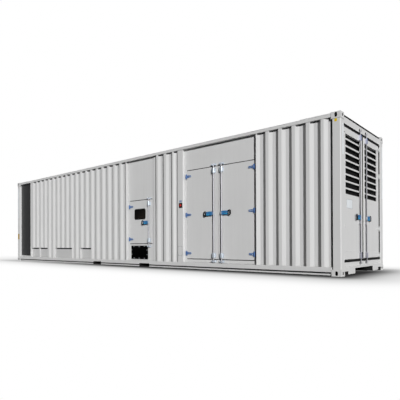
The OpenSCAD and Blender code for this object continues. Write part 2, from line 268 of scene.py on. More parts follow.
def lining(n, col, mask):
    """Perforated galvanised lining where mask is 1."""
    ax, ay, az = n.normal_axis()
    u = n.mixf(n.gt(ax, 0.5), n.x, n.y)
    v = n.mixf(n.gt(az, 0.5), n.z, n.y)
    pu = n.math("SUBTRACT", n.math("FRACT", n.mul(u, 100.0)), 0.5)
    pv = n.math("SUBTRACT", n.math("FRACT", n.mul(v, 100.0)), 0.5)
    d = n.math("SQRT", n.add(n.mul(pu, pu), n.mul(pv, pv)))
    hole = n.lt(d, 0.27)
    seam = n.lt(n.absv(n.math("SUBTRACT", n.math("FRACT", n.mul(n.add(u, 20.0), 0.8)), 0.5)), 0.004)
    z = n.gain((0.50, 0.53, 0.55), n.remap(n.noise(5.0, 3.0), 0.3, 0.7, 0.9, 1.08))
    z = n.mix(n.any(hole, seam), z, (0.015, 0.016, 0.018))
    return n.mix(mask, col, z), n.mul(mask, hole)


def cabin(n):
    """1 on the faces that look into the enclosure."""
    return n.all(n.lt(n.absv(n.y), 1.0798), n.lt(n.absv(n.x), 5.9758), n.lt(n.z, 2.8115), n.gt(n.z, 0.1575))


def paint(name, col=WHITE, rough=0.50, inside=None, masks=(), flutes=False, reveal_shade=0.0, **kw):
    """Enamel over steel. inside(n) marks the perforated lining, masks are (mask(n), colour, roughness, metallic).
    On fluted walls painted shade darkens the flanks that face the blind end and dims those that face the louvred end a
    little; the reveal amount paints shade on faces turned squarely to the louvred end."""
    n = Net(name)
    c = weathered(n, col, **kw)
    if flutes:
        # painted shade: flanks facing the blind end are darkened by half, flanks facing the louvred end dimmed a little
        fx = n.facing(0)
        lee_shade = n.mul(n.span(fx, -0.93, -0.22), 0.50)
        lit_flank_shade = n.mul(n.span(fx, 0.22, 0.93), 0.115)
        c = n.gain(c, n.inv(n.add(lee_shade, lit_flank_shade)))
    # painted shade on faces turned squarely to the louvred end
    if reveal_shade:
        c = n.gain(c, n.inv(n.mul(n.all(n.gt(n.facing(0), 0.93), n.lt(n.x, 5.9)), reveal_shade)))
    r = n.remap(n.noise(24.0, 4.0), 0.3, 0.7, rough - 0.05, rough + 0.07)
    metal = 0.0
    if inside is not None:
        m = inside(n)
        c, hole = lining(n, c, m)
        metal = n.mul(m, 0.45)
        n.bump(hole, -0.0015, 0.8)
    for mask, mcol, mrough, mmetal in masks:
        m = mask(n)
        k = n.remap(n.noise(38.0, 4.0, 0.6), 0.3, 0.7, 0.90, 1.08)
        c = n.mix(m, c, n.gain(mcol, k))
        r = n.mixf(m, r, n.remap(n.noise(60.0, 3.0), 0.3, 0.7, mrough - 0.06, mrough + 0.08))
        if mmetal or not isinstance(metal, float):
            metal = n.mixf(m, metal, mmetal)
    orange_peel(n)
    n.set("Base Color", c)
    n.set("Roughness", r)
    n.set("Metallic", metal)
    n.set("Specular IOR Level", 0.3)
    return n.mat


def zinc(name, col=ZINC, rough=0.40, metal=0.35, lee_shade=False, side=False):
    """Zinc-plated steel with a faint spangle and handling marks, and painted shade in its crevices. The first flag
    paints shade on the face turned to the blind end, side on the one turned to the service side.
    """
    n = Net(name)
    k = n.remap(n.voronoi(95.0, out="Color"), 0.0, 1.0, 0.88, 1.08)
    k = n.mul(k, n.remap(n.noise(16.0, 4.0, 0.6), 0.3, 0.7, 0.92, 1.06))
    # painted shade in crevices, from ambient occlusion
    k = n.mul(k, n.remap(n.ao(0.03), 0.25, 0.95, 0.72, 1.0))
    # painted shade on the face turned to the blind end
    if lee_shade:
        k = n.mul(k, n.remap(n.facing(0), 0.10, 0.42, 0.10, 1.0))
    # painted shade on the face turned to the service side
    if side:
        k = n.mul(k, n.remap(n.facing(1), -0.98, -0.55, 0.16, 1.0))
    n.set("Base Color", n.gain(col, k))
    n.set("Roughness", n.remap(n.noise(70.0, 3.0), 0.3, 0.7, rough - 0.08, rough + 0.10))
    n.set("Metallic", metal)
    n.bump(n.noise(240.0, 3.0), 0.0002, 0.5)
    return n.mat


def coated(name, col, rough=0.36, worn=0.10, spec=0.5):
    """Coloured coating on a small part, paler where hands and bolts rub it, with painted shade darkening its crevices.
    """
    n = Net(name)
    rub = n.remap(n.noise(34.0, 5.0, 0.62), 0.56, 0.74, 0.0, worn)
    c = n.gain(col, n.remap(n.noise(12.0, 3.0), 0.3, 0.7, 0.93, 1.06))
    c = n.mix(rub, c, (0.42, 0.47, 0.53))
    # painted shade in crevices, from ambient occlusion
    c = n.gain(c, n.remap(n.ao(0.02), 0.2, 0.95, 0.7, 1.0))
    n.set("Base Color", c)
    n.set("Roughness", n.remap(n.noise(55.0, 3.0), 0.3, 0.7, rough - 0.06, rough + 0.10))
    n.set("Specular IOR Level", spec)
    n.bump(n.noise(420.0, 2.0), 0.00012, 0.6)
    return n.mat


def rubber(name, col=(0.006, 0.006, 0.006), rough=0.76):
    n = Net(name)
    c = n.gain(col, n.remap(n.noise(14.0, 4.0, 0.6), 0.3, 0.7, 0.85, 1.25))
    d = n.remap(n.noise(130.0, 3.0, 0.6), 0.58, 0.75, 0.0, 0.08)
    n.set("Base Color", n.mix(d, c, (0.11, 0.105, 0.10)))
    n.set("Roughness", n.remap(n.noise(80.0, 2.0), 0.3, 0.7, rough - 0.05, rough + 0.08))
    n.bump(n.noise(520.0, 2.0), 0.0002, 0.6)
    return n.mat


def plate_mat(name, col, rough=0.34):
    """Blank engraved or printed plate: slight fading."""
    n = Net(name)
    k = n.mul(n.remap(n.noise(9.0, 3.0), 0.3, 0.7, 0.96, 1.03), n.remap(n.noise(150.0, 2.0), 0.3, 0.7, 0.985, 1.015))
    n.set("Base Color", n.gain(col, k))
    n.set("Roughness", n.remap(n.noise(45.0, 3.0), 0.3, 0.7, rough - 0.05, rough + 0.09))
    n.bump(n.noise(300.0, 2.0), 0.00008, 0.5)
    return n.mat


def glass_mat(name):
    """Dark tinted pane in a rubber channel, with a painted reflection: a brown gradient towards the lower right."""
    n = Net(name)
    pane = n.all(n.lt(n.absv(n.math("SUBTRACT", n.x, 0.7495)), 0.196), n.lt(n.absv(n.math("SUBTRACT", n.z, 1.3785)), 0.121))
    smear = n.remap(n.noise(1.0, 4.0, 0.6, n.scaled((9.0, 9.0, 4.0))), 0.35, 0.75, 0.0, 1.0)
    # painted reflection: brown towards the lower right of the pane
    reflection_tint = n.remap(n.add(n.mul(n.x, 0.8), n.mul(n.z, -1.0)), -1.0, -0.45, 0.0, 1.0, smooth=True)
    c = n.mix(reflection_tint, (0.003, 0.003, 0.0032), (0.020, 0.016, 0.012))
    c = n.mix(n.mul(smear, 0.012), c, (0.25, 0.25, 0.25))
    n.set("Base Color", n.mix(pane, (0.010, 0.010, 0.010), c))
    n.set("Roughness", n.mixf(pane, 0.62, n.remap(smear, 0.0, 1.0, 0.06, 0.16)))
    n.bump(n.noise(300.0, 2.0), 0.00005, 0.4)
    return n.mat


def chequer_mat(name):
    """Painted chequer plate: raised lozenges laid in alternate directions."""
    n = Net(name)
    def bars(sx, sy, ox):
        u = n.mul(n.add(n.mul(n.x, sx), n.mul(n.y, sy)), 0.70711)
        v = n.mul(n.add(n.mul(n.x, -sy), n.mul(n.y, sx)), 0.70711)
        a = n.math("SUBTRACT", n.math("FRACT", n.add(n.mul(u, 24.0), ox)), 0.5)
        b = n.math("SUBTRACT", n.math("FRACT", n.add(n.mul(v, 24.0), ox)), 0.5)
        e = n.add(n.math("POWER", n.math("DIVIDE", n.absv(a), 0.36), 2.0), n.math("POWER", n.math("DIVIDE", n.absv(b), 0.09), 2.0))
        return n.remap(e, 0.5, 1.0, 1.0, 0.0, smooth=True)
    h = n.any(bars(1.0, 1.0, 0.0), bars(1.0, -1.0, 0.5))
    top = n.gt(n.normal_axis()[2], 0.5)
    h = n.mul(h, top)
    c = n.gain((0.17, 0.175, 0.18), n.remap(n.noise(7.0, 4.0, 0.6), 0.3, 0.7, 0.86, 1.12))
    n.set("Base Color", n.mix(n.mul(h, 0.35), c, (0.34, 0.34, 0.34)))
    n.set("Roughness", n.remap(n.noise(30.0, 3.0), 0.3, 0.7, 0.42, 0.6))
    n.bump(h, 0.0016, 0.9)
    return n.mat


# ---------------------------------------------------------------------------
# the finishes
# ---------------------------------------------------------------------------

M_PAINT = paint("enamel_white")
# painted shade on faces turned to the louvred end, through the reveal amount
M_WALL = paint("enamel_white_wall", inside=cabin, reveal_shade=0.06)
# painted shade: the header's bottom edge is painted black where the gap and underside fall in shade
M_HEADER = paint("enamel_louvre_header", masks=[
    (lambda n: n.lt(n.z, 2.7325), (0.006, 0.006, 0.007), 0.8, 0.0)])
# painted shade: the inset panels are painted darker than the wall around them
M_INSET = paint("enamel_inset_panels", tuple(0.87 * c for c in WHITE))
# painted shade: the lower part of the sill's legs is painted black where it falls in shade
M_SILL = paint("enamel_louvre_sill", masks=[
    (lambda n: n.all(n.lt(n.z, 0.1215), n.lt(n.x, 6.0870)), (0.012, 0.012, 0.012), 0.8, 0.0)])
# painted shadow of the top rail: the tops of the troughs are painted dark
M_FLUTED = paint("enamel_fluted_wall", inside=cabin, flutes=True, reveal_shade=0.06, masks=[
    (lambda n: n.all(n.gt(n.z, 2.782), n.span(n.y, -1.2010, -1.1300), n.lt(n.x, 5.70)), (0.060, 0.060, 0.061), 0.7, 0.0)])
# painted shade: the insides of the castings' apertures and the side faces in the notch are painted black
M_CAST = paint("enamel_castings", masks=[
    (lambda n: n.all(n.span(n.absv(n.x), 5.9230, 6.0890), n.span(n.absv(n.y), 1.0620, 1.2120), n.any(n.span(n.z, 0.0060, 0.1120), n.span(n.z, 2.7840, 2.8900))),
     (0.014, 0.014, 0.015), 0.8, 0.0),
    (lambda n: n.all(n.gt(n.absv(n.facing(1)), 0.8), n.lt(n.absv(n.y), 1.0580), n.lt(n.z, 0.100), n.span(n.x, 5.90, 6.0870)), (0.020, 0.020, 0.020), 0.8, 0.0)])
# painted shade: the web recess under the rail's face is painted dark
M_RAIL = paint("enamel_bottom_rail", masks=[
    (lambda n: n.all(n.span(n.z, 0.0425, 0.0705), n.gt(n.absv(n.y), 1.150), n.lt(n.absv(n.y), 1.2125)), (0.030, 0.030, 0.030), 0.8, 0.0),
    (lambda n: n.lt(n.absv(n.y), 1.150), (0.16, 0.16, 0.16), 0.7, 0.0)])
# painted shadow of the top rail at the tops of the troughs, and painted shade on the back of the slots over the lower
# inset panels
M_RECESS = paint("enamel_white_left_wall", inside=cabin, flutes=True, reveal_shade=0.14, masks=[
    (lambda n: n.all(n.gt(n.z, 2.779), n.span(n.y, -1.1900, -1.1300), n.lt(n.x, 5.70)), (0.060, 0.060, 0.061), 0.7, 0.0),
    (lambda n: n.all(n.lt(n.absv(n.add(n.y, 1.105)), 0.0006), n.lt(n.z, 0.485)), (0.012, 0.012, 0.013), 0.6, 0.0)])
M_SIGN = paint("enamel_sign_panel", inside=cabin, masks=[
    (lambda n: n.all(n.lt(n.y, -1.1380), n.span(n.z, 0.196, 2.79)), (0.048, 0.048, 0.049), 0.36, 0.0)])
M_SIDE_LEAF = paint("enamel_side_door", inside=lambda n: n.gt(n.y, -1.0968), masks=[
    (lambda n: n.lt(n.y, -1.1476), ZINC, 0.42, 0.3)])
# painted shade: the rod guides' front faces and their faces turned to the service side are painted darker, and the
# jambs of the louvre openings black
M_END_LEAF = paint("enamel_end_door", inside=lambda n: n.lt(n.x, 5.9992), masks=[
    (lambda n: n.all(n.gt(n.x, 6.0556), n.lt(n.absv(n.y), 0.215), n.any(n.gt(n.z, 2.5), n.lt(n.z, 0.45))), (0.66, 0.66, 0.76), 0.40, 0.1),
    (lambda n: n.all(n.gt(n.x, 6.0556), n.lt(n.absv(n.y), 0.215), n.gt(n.facing(0), 0.7), n.any(n.gt(n.z, 2.5), n.lt(n.z, 0.45))), (0.24, 0.30, 0.50), 0.40, 0.1),
    (lambda n: n.all(n.gt(n.x, 6.0556), n.lt(n.absv(n.y), 0.215), n.lt(n.facing(1), -0.6), n.lt(n.z, 1.05)), (0.33, 0.33, 0.36), 0.50, 0.1),
    (lambda n: n.all(n.gt(n.x, 6.0556), n.lt(n.absv(n.y), 0.215), n.gt(n.facing(0), 0.7), n.lt(n.z, 0.45)), (0.40, 0.41, 0.50), 0.40, 0.1),
    (lambda n: n.all(n.gt(n.absv(n.facing(1)), 0.7), n.span(n.z, 1.4780, 2.5710), n.span(n.absv(n.y), 0.1260, 0.9050), n.lt(n.x, 6.0420)), (0.004, 0.004, 0.0045), 0.8, 0.0)])
# painted shade: the plate behind the blades and the blades' ends are painted black, and the creases get stronger
# painted shade
M_BANK = paint("enamel_louvre_blades", crevice=0.45, masks=[
    (lambda n: n.lt(n.x, 6.0120), (0.004, 0.004, 0.0045), 0.8, 0.0),
    (lambda n: n.all(n.lt(n.x, 6.0340), n.gt(n.absv(n.facing(1)), 0.7)), (0.004, 0.004, 0.0045), 0.8, 0.0)])
# grey underframe paint made darker still as painted shade; the insides of the fork pockets and the gooseneck tunnel are
# painted near black as painted shade
M_UNDER = paint("underframe_grey_and_shade", (0.040, 0.040, 0.041), rough=0.60, dust=0.10, streak=0.08)
M_POCKET = paint("fork_pocket_painted_shade", (0.008, 0.008, 0.008), rough=0.75, dust=0.03, streak=0.08)
M_TUNNEL = paint("gooseneck_tunnel_painted_shade", (0.0025, 0.0025, 0.0025), rough=0.80, dust=0.01, streak=0.08)
M_BLACK = coated("enamel_black", (0.0012, 0.0012, 0.0013), rough=0.46, worn=0.004, spec=0.04)
M_BLACK_PLASTIC = coated("plastic_black", (0.010, 0.010, 0.0105), rough=0.46, worn=0.03, spec=0.3)
M_RUBBER = rubber("rubber_black")
M_ZINC = zinc("zinc_plated")
M_ROD = zinc("zinc_rod", (0.56, 0.56, 0.60), 0.42, 0.15)
# painted shade: the side rods are darker on the face turned to the blind end, the end rods on the face turned to the
# service side
M_SIDE_ROD = zinc("zinc_side_rod", (0.56, 0.56, 0.60), 0.42, 0.15, lee_shade=True)
M_END_ROD = zinc("zinc_end_rod", (0.56, 0.56, 0.60), 0.42, 0.15, side=True)
M_BOLT = zinc("zinc_bolt", (0.60, 0.63, 0.66), 0.34, 0.55)
M_BLUE = coated("lever_blue", BLUE, rough=0.34, worn=0.12)
M_CYAN = coated("lever_patch_cyan", (0.030, 0.540, 0.820), rough=0.30, worn=0.04)
M_HINGE = paint("hinge_finish", WHITE, masks=[
    (lambda n: n.lt(n.x, 5.5), HINGE_BLUE, 0.38, 0.1)])
M_HINGE_BLUE = coated("hinge_blue", HINGE_BLUE, rough=0.38, worn=0.30)
# painted shade: on the louvred end the keepers' faces turned to the service side are painted dark
M_KEEPER = paint("keeper_finish", WHITE, masks=[
    (lambda n: n.all(n.gt(n.x, 5.5), n.lt(n.facing(1), -0.7)), (0.05, 0.05, 0.055), 0.6, 0.0),
    (lambda n: n.lt(n.x, 5.5), ZINC, 0.42, 0.3)])
M_RED = coated("button_red", (0.78, 0.035, 0.025), rough=0.26, worn=0.0)
M_GLASS = glass_mat("tinted_pane")
M_FLOOR = chequer_mat("chequer_plate")
M_PLATE = plate_mat("plate_pale", (0.93, 0.97, 1.0))
M_PLATE_BLUE = plate_mat("plate_blue_grey", (0.33, 0.42, 0.60))
M_YELLOW = plate_mat("tag_yellow", (0.86, 0.60, 0.012))
M_ORANGE = plate_mat("tag_orange", (0.52, 0.31, 0.012))

FINISH = {
    "rear_wall": M_WALL, "roof_panel": M_WALL, "end_wall_blind": M_WALL, "wall_middle": M_FLUTED, "wall_right": M_FLUTED,
    "control_bay_panel": M_WALL, "engine_bay_frame": M_WALL, "switch_post": M_WALL, "wall_left": M_RECESS,
    "signage_panel": M_SIGN, "control_door": M_SIDE_LEAF, "engine_door_left": M_SIDE_LEAF, "engine_door_right": M_SIDE_LEAF,
    "louvre_door_left": M_END_LEAF, "louvre_door_right": M_END_LEAF, "louvre_bank_left": M_BANK, "louvre_bank_right": M_BANK,
    "corner_castings_bottom": M_CAST, "corner_castings_top": M_CAST, "bottom_side_rails": M_RAIL,
    "cross_members": M_UNDER, "gooseneck_tunnel": M_TUNNEL, "fork_pockets": M_POCKET,
    "sill_louvre_end": M_SILL, "header_louvre_end": M_HEADER, "lower_recess_panels": M_INSET, "floor_plate": M_FLOOR,
    "roof_edge_seal": M_RUBBER, "cable_entry_panel": M_BLACK, "estop_box": M_BLACK_PLASTIC, "estop_button": M_RED,
    "hinge_pins": M_HINGE, "lock_keepers": M_KEEPER, "control_door_window": M_GLASS,
}
ROUND = {
    "corner_castings_bottom": 5.0, "corner_castings_top": 5.0, "corner_posts": 4.0, "bottom_side_rails": 5.0, "top_side_rails": 3.0,
    "rear_wall": 6.0, "wall_left": 6.0, "wall_middle": 6.0, "wall_right": 6.0, "end_wall_blind": 6.0, "roof_panel": 5.0,
    "sill_louvre_end": 5.0, "header_louvre_end": 5.0, "sill_blind_end": 5.0, "header_blind_end": 5.0, "louvre_bank_left": 1.2,
    "louvre_bank_right": 1.2, "estop_button": 1.0, "hinge_pins": 1.5, "lock_keepers": 1.5, "cross_members": 2.0, "control_door_window": 1.5,
    "control_door": 2.5, "engine_door_left": 2.5, "engine_door_right": 2.5, "louvre_door_left": 2.5, "louvre_door_right": 2.5,
    "floor_plate": 1.0, "roof_edge_seal": 1.5, "access_cover": 1.5, "estop_box": 3.0, "cable_entry_panel": 2.0,
}


def round_edges(o, width, segments=2):
    """Weld the CAD mesh, join its flat faces, and give it the small radii of pressed and welded steel."""
    w = o.modifiers.new("weld", "WELD")
    w.merge_threshold = 0.00002
    d = o.modifiers.new("flat_faces", "DECIMATE")
    d.decimate_type, d.angle_limit = "DISSOLVE", math.radians(0.4)
    b = o.modifiers.new("edges", "BEVEL")
    b.width, b.segments = width / 1000.0, segments
    b.limit_method, b.angle_limit = "ANGLE", math.radians(24.0)
    b.use_clamp_overlap, b.harden_normals = True, False
    n = o.modifiers.new("normals", "WEIGHTED_NORMAL")
    n.keep_sharp, n.weight, n.mode = False, 60, "FACE_AREA"


for name, o in NODES.items():
    mat = FINISH.get(name, M_PAINT)
    o.data.materials.clear()
    o.data.materials.append(mat)
    round_edges(o, ROUND.get(name, 3.0))

# ---------------------------------------------------------------------------
# mesh helpers, all in metres
# ---------------------------------------------------------------------------


def at(o, z=(0, 0, 1), x=(1, 0, 0)):
    """A local frame at o, with its z and x axes given."""
    z = Vector(z).normalized()
    x = Vector(x)
    x = (x - z * x.dot(z)).normalized()
    y = z.cross(x)
    m = Matrix((x, y, z)).transposed().to_4x4()
    m.translation = Vector(o)
    return m


def mesh_faces(bm, pts, faces, mat=0):
    vs = [bm.verts.new(p) for p in pts]
    for f in faces:
        face = bm.faces.new([vs[i] for i in f])
        face.material_index = mat
    return vs


def block(bm, x0, x1, y0, y1, z0, z1, mat=0, m=None):
    p = [Vector((x, y, z)) for z in (z0, z1) for y in (y0, y1) for x in (x0, x1)]
    if m is not None:
        p = [m @ v for v in p]
    mesh_faces(bm, p, [(0, 2, 3, 1), (4, 5, 7, 6), (0, 1, 5, 4), (2, 6, 7, 3), (0, 4, 6, 2), (1, 3, 7, 5)], mat)


def prism(bm, m, outline, z0, z1, mat=0):
    """outline in the frame's x and y, counter-clockwise, drawn from z0 to z1."""
    k = len(outline)
    p = [m @ Vector((a, b, z0)) for a, b in outline] + [m @ Vector((a, b, z1)) for a, b in outline]
    f = [tuple(reversed(range(k))), tuple(range(k, 2 * k))]
    f += [(i, (i + 1) % k, k + (i + 1) % k, k + i) for i in range(k)]
    mesh_faces(bm, p, f, mat)


def hoop(bm, m, outer, inner, z0, z1, mat=0):
    """A flat ring between two outlines with the same count of points."""
    k = len(outer)
    p = []
    for z in (z0, z1):
        for line in (outer, inner):
            p += [m @ Vector((a, b, z)) for a, b in line]
    f = []
    for i in range(k):
        j = (i + 1) % k
        f.append((i, j, 2 * k + j, 2 * k + i))
        f.append((k + j, k + i, 3 * k + i, 3 * k + j))
        f.append((2 * k + i, 2 * k + j, 3 * k + j, 3 * k + i))
        f.append((j, i, k + i, k + j))
    mesh_faces(bm, p, f, mat)


def turned(bm, m, prof, n=20, mat=0):
    """A turned form: prof is (radius, height) from one end of the axis to the other."""
    rings = []
    for r, h in prof:
        if r < 1e-6:
            rings.append([bm.verts.new(m @ Vector((0, 0, h)))])
        else:
            rings.append([bm.verts.new(m @ Vector((r * math.cos(2 * math.pi * i / n), r * math.sin(2 * math.pi * i / n), h))) for i in range(n)])
    for a, b in zip(rings, rings[1:]):
        for i in range(n):
            j = (i + 1) % n
            if len(a) == 1 and len(b) == 1:
                continue
            if len(a) == 1:
                f = bm.faces.new((a[0], b[j], b[i]))
            elif len(b) == 1:
                f = bm.faces.new((a[i], a[j], b[0]))
            else:
                f = bm.faces.new((a[i], a[j], b[j], b[i]))
            f.material_index = mat
    for ring, flip in ((rings[0], True), (rings[-1], False)):
        if len(ring) > 1:
            f = bm.faces.new(list(reversed(ring)) if flip else ring)
            f.material_index = mat


def swept(bm, pts, r, n=10, closed=False, mat=0, up=(0, 0, 1), flat=1.0):
    """A round bar along points; flat squeezes it along the up direction."""
    pts = [Vector(p) for p in pts]
    rings, k = [], len(pts)
    for i, p in enumerate(pts):
        a = pts[(i - 1) % k] if closed or i else p
        b = pts[(i + 1) % k] if closed or i < k - 1 else p
        t = (b - a).normalized()
        u = Vector(up)
        u = (u - t * u.dot(t)).normalized()
        s = t.cross(u)
        rings.append([bm.verts.new(p + s * r * math.cos(2 * math.pi * j / n) + u * r * flat * math.sin(2 * math.pi * j / n)) for j in range(n)])
    pairs = list(zip(rings, rings[1:])) + ([(rings[-1], rings[0])] if closed else [])
    for a, b in pairs:
        for j in range(n):
            f = bm.faces.new((a[j], a[(j + 1) % n], b[(j + 1) % n], b[j]))
            f.material_index = mat
    if not closed:
        for ring, flip in ((rings[0], True), (rings[-1], False)):
            f = bm.faces.new(list(reversed(ring)) if flip else ring)
            f.material_index = mat


def rr(x0, x1, y0, y1, r, n=5):
    out = []
    for cx, cy, a0 in ((x1 - r, y1 - r, 0), (x0 + r, y1 - r, 90), (x0 + r, y0 + r, 180), (x1 - r, y0 + r, 270)):
        for i in range(n + 1):
            a = math.radians(a0 + 90.0 * i / n)
            out.append((cx + r * math.cos(a), cy + r * math.sin(a)))
    return out


def hex_bolt(bm, o, axis, s=0.010, mat=0):
    """Hexagon head on a washer; s is half the width over the flats."""
    m = at(o, axis, (0, 0, 1) if abs(axis[2]) < 0.9 else (1, 0, 0))
    turned(bm, m, [(s * 1.75, 0.0), (s * 1.75, s * 0.16), (s * 1.62, s * 0.26), (s * 1.2, s * 0.26)], 18, mat)
    turned(bm, m, [(s * 1.12, s * 0.2), (s * 1.15, s * 0.3), (s * 1.15, s * 0.82), (s * 0.98, s * 1.0), (s * 0.5, s * 1.02)], 6, mat)


def cup_bolt(bm, o, axis, r=0.009, mat=0):
    """Low domed head."""
    turned(bm, at(o, axis, (0, 0, 1) if abs(axis[2]) < 0.9 else (1, 0, 0)),
           [(r, 0.0), (r * 0.98, r * 0.14), (r * 0.82, r * 0.34), (r * 0.5, r * 0.47), (0.0, r * 0.52)], 14, mat)


def piece(name, bm, body, mats, bevel=0.0, sharp=32.0, segments=2):
    """Turns the built mesh into a piece that rides on a body."""
    bmesh.ops.recalc_face_normals(bm, faces=bm.faces[:])
    for f in bm.faces:
        f.smooth = True
    lim = math.radians(sharp)
    for e in bm.edges:
        if len(e.link_faces) == 2 and e.calc_face_angle(0.0) > lim:
            e.smooth = False
    me = bpy.data.meshes.new(name)
    bm.to_mesh(me)
    bm.free()
    o = bpy.data.objects.new(name, me)
    scene.collection.objects.link(o)
    for m in mats:
        me.materials.append(m)
    if bevel:
        b = o.modifiers.new("edges", "BEVEL")
        b.width, b.segments, b.limit_method, b.angle_limit = bevel / 1000.0, segments, "ANGLE", math.radians(40.0)
        b.use_clamp_overlap = True
        w = o.modifiers.new("normals", "WEIGHTED_NORMAL")
        w.keep_sharp = False
    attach(o, body)
    return o


# ---------------------------------------------------------------------------
# side doors: hinges, guides, lock rods and handles
# ---------------------------------------------------------------------------

HINGE_Y, ROD_Y, LEAF_Y, BAY_Y = -1.160, -1.176, -1.147, -1.139
LEAVES = {
    # body, hinge x, direction of the leaf from its hinge, hinge heights, rod x, guide heights
    "control": ("control_leaf", 0.337, 1, (0.722, 1.590), 1.110, (0.688, 1.630)),
    "engine_left": ("engine_leaf_left", 2.418, 1, (0.370, 1.268, 2.168), 3.232, (0.330, 2.213)),
    "engine_right": ("engine_leaf_right", 4.280, -1, (0.370, 1.268, 2.168), 3.450, (0.330, 2.213)),
}

for key, (body, hx, d, hz, rx, gz) in LEAVES.items():
    bm = bmesh.new()
    for z in hz:
        # forged strap, waisted towards a rounded tip
        o = [(0.004, -0.0262), (0.052, -0.0262), (0.075, -0.0235), (0.116, -0.0225), (0.127, -0.0185), (0.1335, -0.009), (0.1335, 0.009),
             (0.127, 0.0185), (0.116, 0.0225), (0.075, 0.0235), (0.052, 0.0262), (0.004, 0.0262)]
        m = at((hx, LEAF_Y, z), (0, -1, 0), (d, 0, 0))
        if d < 0:
            o = [(a, -b) for a, b in o]
        prism(bm, m, o, 0.0004, 0.0098)
        turned(bm, at((hx, HINGE_Y, z - 0.0258)), [(0.0112, 0.0), (0.0130, 0.0012), (0.0130, 0.0504), (0.0112, 0.0516)], 20)
        for a in (0.046, 0.083, 0.114):
            cup_bolt(bm, (hx + d * a, LEAF_Y - 0.0097, z + 0.0), (0, -1, 0), 0.0088, 1)
    piece(key + "_door_hinge_straps", bm, body, [M_HINGE_BLUE, M_BOLT], 1.3)

    # galvanised bearing brackets wrapped round the rod guides
    bm = bmesh.new()
    for z in gz:
        u = [(-0.047, 0.0), (-0.0318, 0.0), (-0.0318, 0.0435), (-0.0258, 0.0508), (0.0258, 0.0508), (0.0318, 0.0435), (0.0318, 0.0), (0.047, 0.0),
             (0.047, 0.003), (0.0345, 0.003), (0.0345, 0.0447), (0.0272, 0.0532), (-0.0272, 0.0532), (-0.0345, 0.0447), (-0.0345, 0.003), (-0.047, 0.003)]
        m = at((rx, LEAF_Y - 0.0002, z), (0, 0, 1), (1, 0, 0))
        prism(bm, m, [(a, -b) for a, b in reversed(u)], -0.0505, 0.0505)
        for s in (-1, 1):
            for t in (-0.034, 0.034):
                hex_bolt(bm, (rx + s * 0.0405, LEAF_Y - 0.0032, z + t), (0, -1, 0), 0.0040, 1)
    piece(key + "_rod_brackets", bm, body, [M_ZINC, M_BOLT], 0.9)

# fixed hinge halves: bolts and pin heads
bm = bmesh.new()
for key, (body, hx, d, hz, rx, gz) in LEAVES.items():
    for z in hz:
        for t in (-0.036, 0.036):
            cup_bolt(bm, (hx - d * 0.034, HINGE_Y + 0.0142, z + t), (0, -1, 0), 0.0082, 1)
        for s in (-1, 1):
            turned(bm, at((hx, HINGE_Y, z + s * 0.0508), (0, 0, s)), [(0.0104, 0.0), (0.0104, 0.0018), (0.0080, 0.0040), (0.0, 0.0046)], 18, 0)
piece("side_hinge_fixings", bm, "enclosure", [M_HINGE_BLUE, M_BOLT])

GRIP_OUT = rr(-0.045, 0.045, -0.060, 0.060, 0.035, 7)


def lever(bm, m, reach, off, blue, steel):
    """Lever handle in the frame m: x along the lever from the rod axis, y up, z away from the door.
    Local z 0 is the rod axis, and off is where the lever's back lies. The body is a pressed channel with two ribs."""
    z0, z1 = off, off + 0.0124
    e = reach - 0.082
    body = [(0.010, -0.031), (0.030, -0.0425), (e - 0.016, -0.0425), (e, -0.036), (e, 0.036), (e - 0.016, 0.0425), (0.030, 0.0425), (0.010, 0.031)]
    prism(bm, m, body, z0, z1 - 0.0035, blue)
    # raised face with a rolled rim and two ribs
    rim_o = [(0.016, -0.029), (0.033, -0.0385), (e - 0.020, -0.0385), (e - 0.006, -0.033), (e - 0.006, 0.033), (e - 0.020, 0.0385), (0.033, 0.0385), (0.016, 0.029)]
    rim_i = [(0.024, -0.025), (0.037, -0.0315), (e - 0.023, -0.0315), (e - 0.013, -0.028), (e - 0.013, 0.028), (e - 0.023, 0.0315), (0.037, 0.0315), (0.024, 0.025)]
    hoop(bm, m, rim_o, rim_i, z1 - 0.0036, z1, blue)
    for s in (-1, 1):
        prism(bm, m, rr(0.052, e - 0.034, s * 0.0135 - 0.0045, s * 0.0135 + 0.0045, 0.0044, 4), z1 - 0.0036, z1 - 0.0004, blue)
    # cyan patch at the grip end
    prism(bm, m, rr(e - 0.088, e - 0.012, -0.0345, -0.0195, 0.003, 2), z1 - 0.0036, z1 - 0.0012, 3)
    # pivot fork on the rod
    prism(bm, m, rr(-0.019, 0.040, -0.0255, 0.0255, 0.010, 4), z0 - 0.0010, z1 - 0.0042, steel)
    for s in (-1, 1):
        prism(bm, m, rr(-0.017, 0.034, s * 0.0225 - 0.003, s * 0.0225 + 0.003, 0.0028, 2), z0, z1 + 0.0006, steel)
    cup_bolt(bm, m @ Vector((0.027, 0.0, z1 - 0.0042)), m.to_3x3() @ Vector((0, 0, 1)), 0.0095, steel)
    cup_bolt(bm, m @ Vector((e - 0.022, 0.0, z1 - 0.0036)), m.to_3x3() @ Vector((0, 0, 1)), 0.0075, steel)


def grip(bm, m, reach, off):
    """Looped grip: an oval bar with its shank."""
    mid = [(0.5 * (a + c), 0.5 * (b + f)) for (a, b), (c, f) in zip(GRIP_OUT, rr(-0.024, 0.024, -0.038, 0.038, 0.020, 7))]
    up = m.to_3x3() @ Vector((0, 0, 1))
    swept(bm, [m @ Vector((reach - 0.0455 + a * 0.95, b * 0.96, off + 0.0065)) for a, b in mid], 0.0126, 12, True, 0, up, 0.52)
    prism(bm, m, rr(reach - 0.094, reach - 0.066, -0.019, 0.019, 0.005, 3), off - 0.0006, off + 0.0122, 0)


